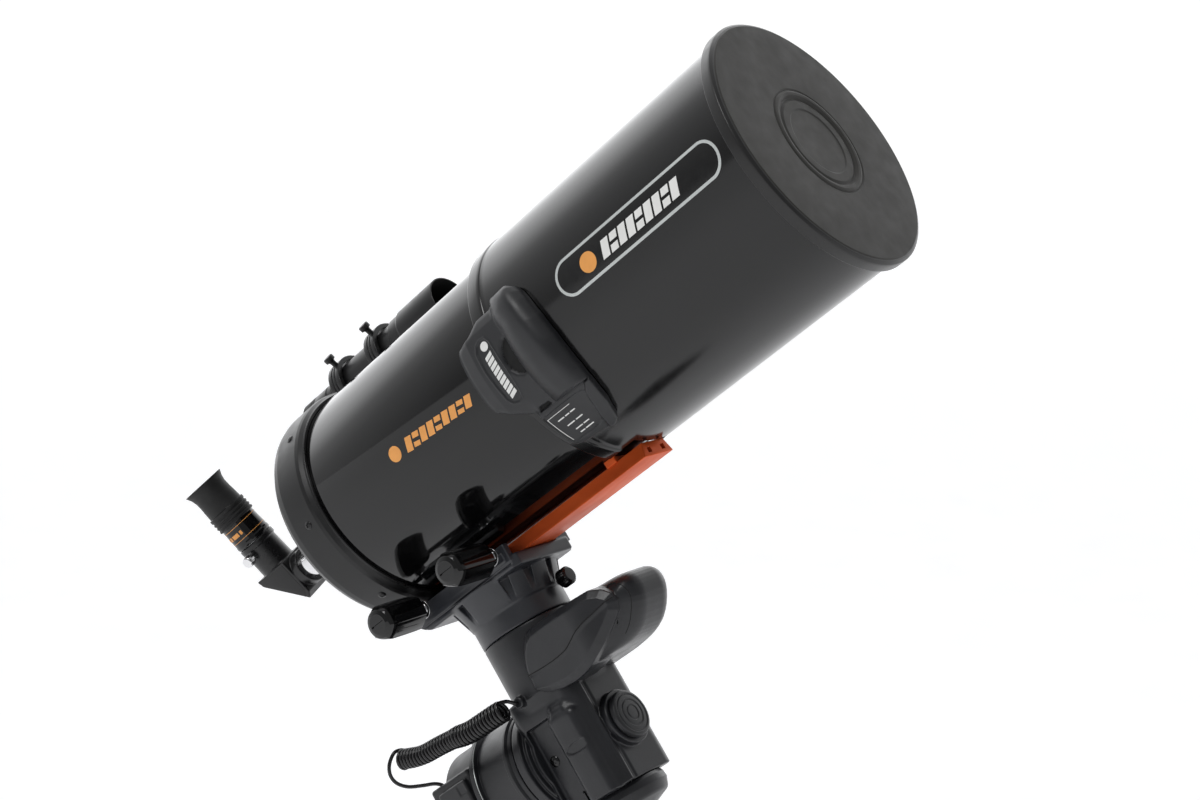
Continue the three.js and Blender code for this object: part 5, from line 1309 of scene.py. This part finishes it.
base = s_clip(base, lambda x, y, z: -z)
base = s_cut(0.3, base, *[s_cyl("z", 4.2, -3, 18, off=(46 * math.cos(math.radians(a)), 46 * math.sin(math.radians(a)), 0)) for a in (60, 180, 300)])
ba = cast("azimuth_base_visual", BASE, base, (-62, -62, -1.2), (87, 62, 36), 1.2, M["cast"])
put(ba, "base", "azimuth_base")
put(merge("altitude_pivot_visual", [
    lathe("pin", BASE, "y", [(-58, 0), (-58, 8), (58, 8), (58, 0)], M["steel"], seg=72, offset=(0, 0, 135))] + [
    lathe("pin_cap", BASE, "y", [(s_ * 54.3, 0), (s_ * 54.3, 15, .6), (s_ * 59, 15, .8), (s_ * 61.6, 12, 1), (s_ * 61.6, 6.2, .3), (s_ * 59.6, 5.8, .3), (s_ * 59.6, 0)], M["chrome"], seg=96, offset=(0, 0, 135)) for s_ in (1, -1)]), "azimuth", "altitude_pivot_pin")
for side_, nm in ((1, "azimuth_knob_far"), (-1, "azimuth_knob_near")):
    k = [lathe("az_knob", BASE, "y", [(side_ * 45.6, 0), (side_ * 45.6, 9, .5), (side_ * 49, 9), (side_ * 49, 12.8, .6), (side_ * 51, 14, 1), (side_ * 64, 14, 1.5), (side_ * 68, 11, 2), (side_ * 68, 0)], M["knob"], seg=180, offset=(77, 0, 26),
               wobble=lambda a, r, t: r - (1.5 * (0.5 - 0.5 * math.cos(8 * t)) if abs(a) > 49.5 and r > 12 else 0)),
         lathe("az_shank", BASE, "y", [(side_ * 6.4, 0), (side_ * 6.4, 3.9, .5), (side_ * 50, 3.9), (side_ * 50, 0)], M["steel"], seg=48, offset=(77, 0, 26))]
    put(merge(nm + "_visual", k), nm, nm)
for tip, bar, nm in ((13.2, 85.5, "altitude_screw_front"), (-13.2, -103, "altitude_screw_rear")):
    sg = 1 if tip > 0 else -1
    k = [lathe("alt_shank", BASE, "x", [(tip, 0), (tip, 4.9, 1), (bar, 4.9), (bar, 0)], M["chrome"], seg=48, offset=(0, 0, 77)),
         lathe("alt_hub", BASE, "x", [(bar - sg * 5.6, 0), (bar - sg * 5.6, 5.8, .8), (bar + sg * 5.6, 5.8, .8), (bar + sg * 5.6, 0)], M["chrome"], seg=48, offset=(0, 0, 77)),
         lathe("alt_bar", BASE, "y", [(-24, 0), (-24, 3.8), (24, 3.8), (24, 0)], M["chrome"], seg=48, offset=(bar, 0, 77))]
    for e_ in (-24, 24):
        k.append(lathe("alt_ball", BASE, "y", [(e_ - 6, 0)] + [(e_ - 6 * math.cos(q), 6 * math.sin(q)) for q in np.linspace(0.15, math.pi - 0.15, 16)] + [(e_ + 6, 0)], M["knob"], seg=48, offset=(bar, 0, 77)))
    put(merge(nm + "_visual", k), nm, nm)

# ------------------------------------------------------------------ coiled lead between the two motors
AXIS = dense_line([(-16, -73, 61.2), (-30, -74, 61.6), (-49, -74.4, 61.8), (-66, -74.4, 62.4), (-84, -74, 65.6), (-108, -73, 68.6), (-138, -72, 71.6), (-166, -70, 80)], 0.5)
AXIS = np.array(AXIS, float)
arc = np.concatenate([[0], np.cumsum(np.linalg.norm(np.diff(AXIS, axis=0), axis=1))])
CORD_D, PITCH, RAD = 3.8, 4.5, 9.3
turns = int(arc[-1] / PITCH)
per = 26
tt = np.linspace(0, arc[-1], turns * per + 1)
ax = np.stack([np.interp(tt, arc, AXIS[:, k]) for k in range(3)], 1)
T = np.gradient(ax, axis=0)
T /= np.linalg.norm(T, axis=1)[:, None]
N = np.array([0, 0, 1.0])
line = []
for i in range(len(ax)):
    N = N - T[i] * (N @ T[i])
    N /= np.linalg.norm(N)
    Bn = np.cross(N, T[i])
    if i == 0:
        sgn = -1.0 if Bn[1] > 0 else 1.0
    th = 2 * math.pi * i / per
    grow = 1 + 0.10 * smoothstep((i - (turns - 1.2) * per) / per) - 0.14 * smoothstep((tt[i] - 62) / 16) * (1 - 0.4 * smoothstep((tt[i] - 120) / 20))
    line.append(ax[i] + RAD * grow * (math.cos(th) * N + sgn * math.sin(th) * Bn))
line = np.array(line)
lead_in = dense_line([(-12, -53.0, 62), (-12, -58.5, 62.3), (-13.6, -66.5, 67.6), tuple(line[2])], 1.2)[:-1]
e0, e1 = line[-1], line[-1] - line[-2]
e1 = e1 / np.linalg.norm(e1)
lead_out = dense_line([tuple(line[-2]), tuple(e0 + e1 * 6 + np.array([-1.6, 0, -1.0])), (-172.5, -82, 81.5), (-177.5, -83, 72), (-179, -79, 62.5), (-175, -71.5, 54), (-166, -62, 48), (-157, -55, 43.5), (-151.5, -52.0, 38.5), (-150.5, -51.4, 35.0)], 1.5)[1:]
route = np.concatenate([np.array(lead_in), line[3:-1], np.array(lead_out)])
seg_l = np.linalg.norm(np.diff(route, axis=0), axis=1)
keep = np.concatenate([[True], seg_l > 0.05])
route = route[keep]
route_m = to_world(HEAD, route)
coil = tube("coiled_lead", route_m, CORD_D / 2000, M["cord"], sides=12)
for p_ in coil.data.polygons:
    p_.use_smooth = True
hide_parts("dec_cable_coil_front", "dec_cable_coil_rear", "dec_cable_lead")
tuple(to_world(HEAD, [(-30, -73, 62)])[0])
tuple(to_world(HEAD, [(-150, -73, 62)])[0])
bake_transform(coil)

# ------------------------------------------------------------------ inner pieces carried over from the frame
inner_mats = {"ra_motor": "steel", "ra_front_bearing": "steel", "ra_worm": "brass", "ra_worm_wheel": "brass", "ra_shaft": "steel", "dec_motor": "steel", "dec_upper_bearing": "steel", "dec_worm": "brass",
              "dec_worm_wheel": "brass", "dec_shaft": "steel", "diagonal_prism": "glass"}
for nm, mt in inner_mats.items():
    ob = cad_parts[nm]
    ob.data.materials.clear()
    ob.data.materials.append(M[mt])
    if mt != "glass":
        ob.data.polygons.foreach_set("use_smooth", [True] * len(ob.data.polygons))
        ob.data.set_sharp_from_angle(angle=math.radians(50))

# ------------------------------------------------------------------ floor, plinth, lights, camera
FLOOR = -0.32
floor = new_object("floor", [(-30, -30, FLOOR), (30, -30, FLOOR), (30, 30, FLOOR), (-30, 30, FLOOR)], [[0, 1, 2, 3]], material("pale_floor", (0.86, 0.86, 0.87), rough=0.6, vary=0.01, bump=((20, 0.05, 0.001),), mottle=3), 30)
plinth = lathe("plinth", BASE, "z", [(FLOOR * 1000, 0), (FLOOR * 1000, 68, 2), (-0.4, 68, 2), (-0.4, 0)], material("pale_plinth", (0.82, 0.82, 0.83), rough=0.6, vary=0.01, bump=((60, 0.05, 0.0005),), mottle=8), seg=128)
for ob_ in (floor, plinth):
    for n_ in ob_.data.materials[0].node_tree.nodes:
        if n_.type == "BSDF_PRINCIPLED":
            n_.inputs["Emission Color"].default_value = (1, 1, 1, 1)
            n_.inputs["Emission Strength"].default_value = 0.32 if ob_ is floor else 0.2

world = bpy.data.worlds.new("studio")
bpy.context.scene.world = world
world.use_nodes = True
nt = world.node_tree
nt.nodes.clear()
out = nt.nodes.new("ShaderNodeOutputWorld")
mix = nt.nodes.new("ShaderNodeMixShader")
lp = nt.nodes.new("ShaderNodeLightPath")
seen = nt.nodes.new("ShaderNodeBackground")
seen.inputs["Color"].default_value = (1, 1, 1, 1)
seen.inputs["Strength"].default_value = 1.05
# a white sweep behind the object, dimmer towards the open front of the studio
tc = nt.nodes.new("ShaderNodeTexCoord")
dot = nt.nodes.new("ShaderNodeVectorMath")
dot.operation = "DOT_PRODUCT"
dot.inputs[1].default_value = Vector((-0.640, 0.755, -0.02)).normalized()
nt.links.new(tc.outputs["Generated"], dot.inputs[0])
half = nt.nodes.new("ShaderNodeMath")
half.operation = "MULTIPLY_ADD"
half.inputs[1].default_value = 0.5
half.inputs[2].default_value = 0.5
nt.links.new(dot.outputs["Value"], half.inputs[0])
fall = nt.nodes.new("ShaderNodeValToRGB")
els = fall.color_ramp.elements
els[0].position, els[1].position = 0.0, 1.0
els[0].color, els[1].color = rgba((0.145, 0.147, 0.15)), rgba((0.92, 0.93, 0.94))
for at_, level in ((0.345, 0.17), (0.405, 0.19), (0.475, 0.26), (0.55, 0.32), (0.65, 0.37), (0.745, 0.50), (0.825, 0.88), (0.875, 0.97)):
    e = els.new(at_)
    e.color = rgba((level * 0.985, level * 0.99, level))
nt.links.new(half.outputs["Value"], fall.inputs["Fac"])
amb = nt.nodes.new("ShaderNodeBackground")
nt.links.new(fall.outputs["Color"], amb.inputs["Color"])
amb.inputs["Strength"].default_value = 1.85
nt.links.new(lp.outputs["Is Camera Ray"], mix.inputs["Fac"])
nt.links.new(amb.outputs["Background"], mix.inputs[1])
nt.links.new(seen.outputs["Background"], mix.inputs[2])
nt.links.new(mix.outputs["Shader"], out.inputs["Surface"])

CEN = Vector((0.02, 0, 0.52))


def softbox(name, loc, size, power, target=CEN, color=(1, 1, 1), spread=180):
    li = bpy.data.lights.new(name, "AREA")
    li.shape = "RECTANGLE"
    li.size, li.size_y = size
    li.energy = power
    li.color = color
    li.spread = math.radians(spread)
    ob = bpy.data.objects.new(name, li)
    bpy.context.scene.collection.objects.link(ob)
    ob.location = loc
    d = Vector(target) - Vector(loc)
    ob.rotation_euler = d.to_track_quat("-Z", "Y").to_euler()
    ob.visible_camera = False
    return ob


softbox("key_top", (-0.15, -1.5, 2.7), (1.3, 0.9), 22)

cam = bpy.data.cameras.new("camera")
cam.sensor_width = 36
cam.lens = 61.146
cam.clip_start = 0.05
cam.clip_end = 200
co = bpy.data.objects.new("camera", cam)
bpy.context.scene.collection.objects.link(co)
rt, up_, bk = Vector((0.81880, 0.57249, -0.04273)), Vector((-0.03652, 0.12622, 0.99133)), Vector((0.57292, -0.81014, 0.12426))
bk.normalize()
rt = (rt - bk * rt.dot(bk)).normalized()
up_ = bk.cross(rt)
co.matrix_world = axes(Vector((1.1543, -1.5559, 0.8208)), rt, up_, bk)
bpy.context.scene.camera = co
bpy.context.scene.view_settings.view_transform = "Standard"
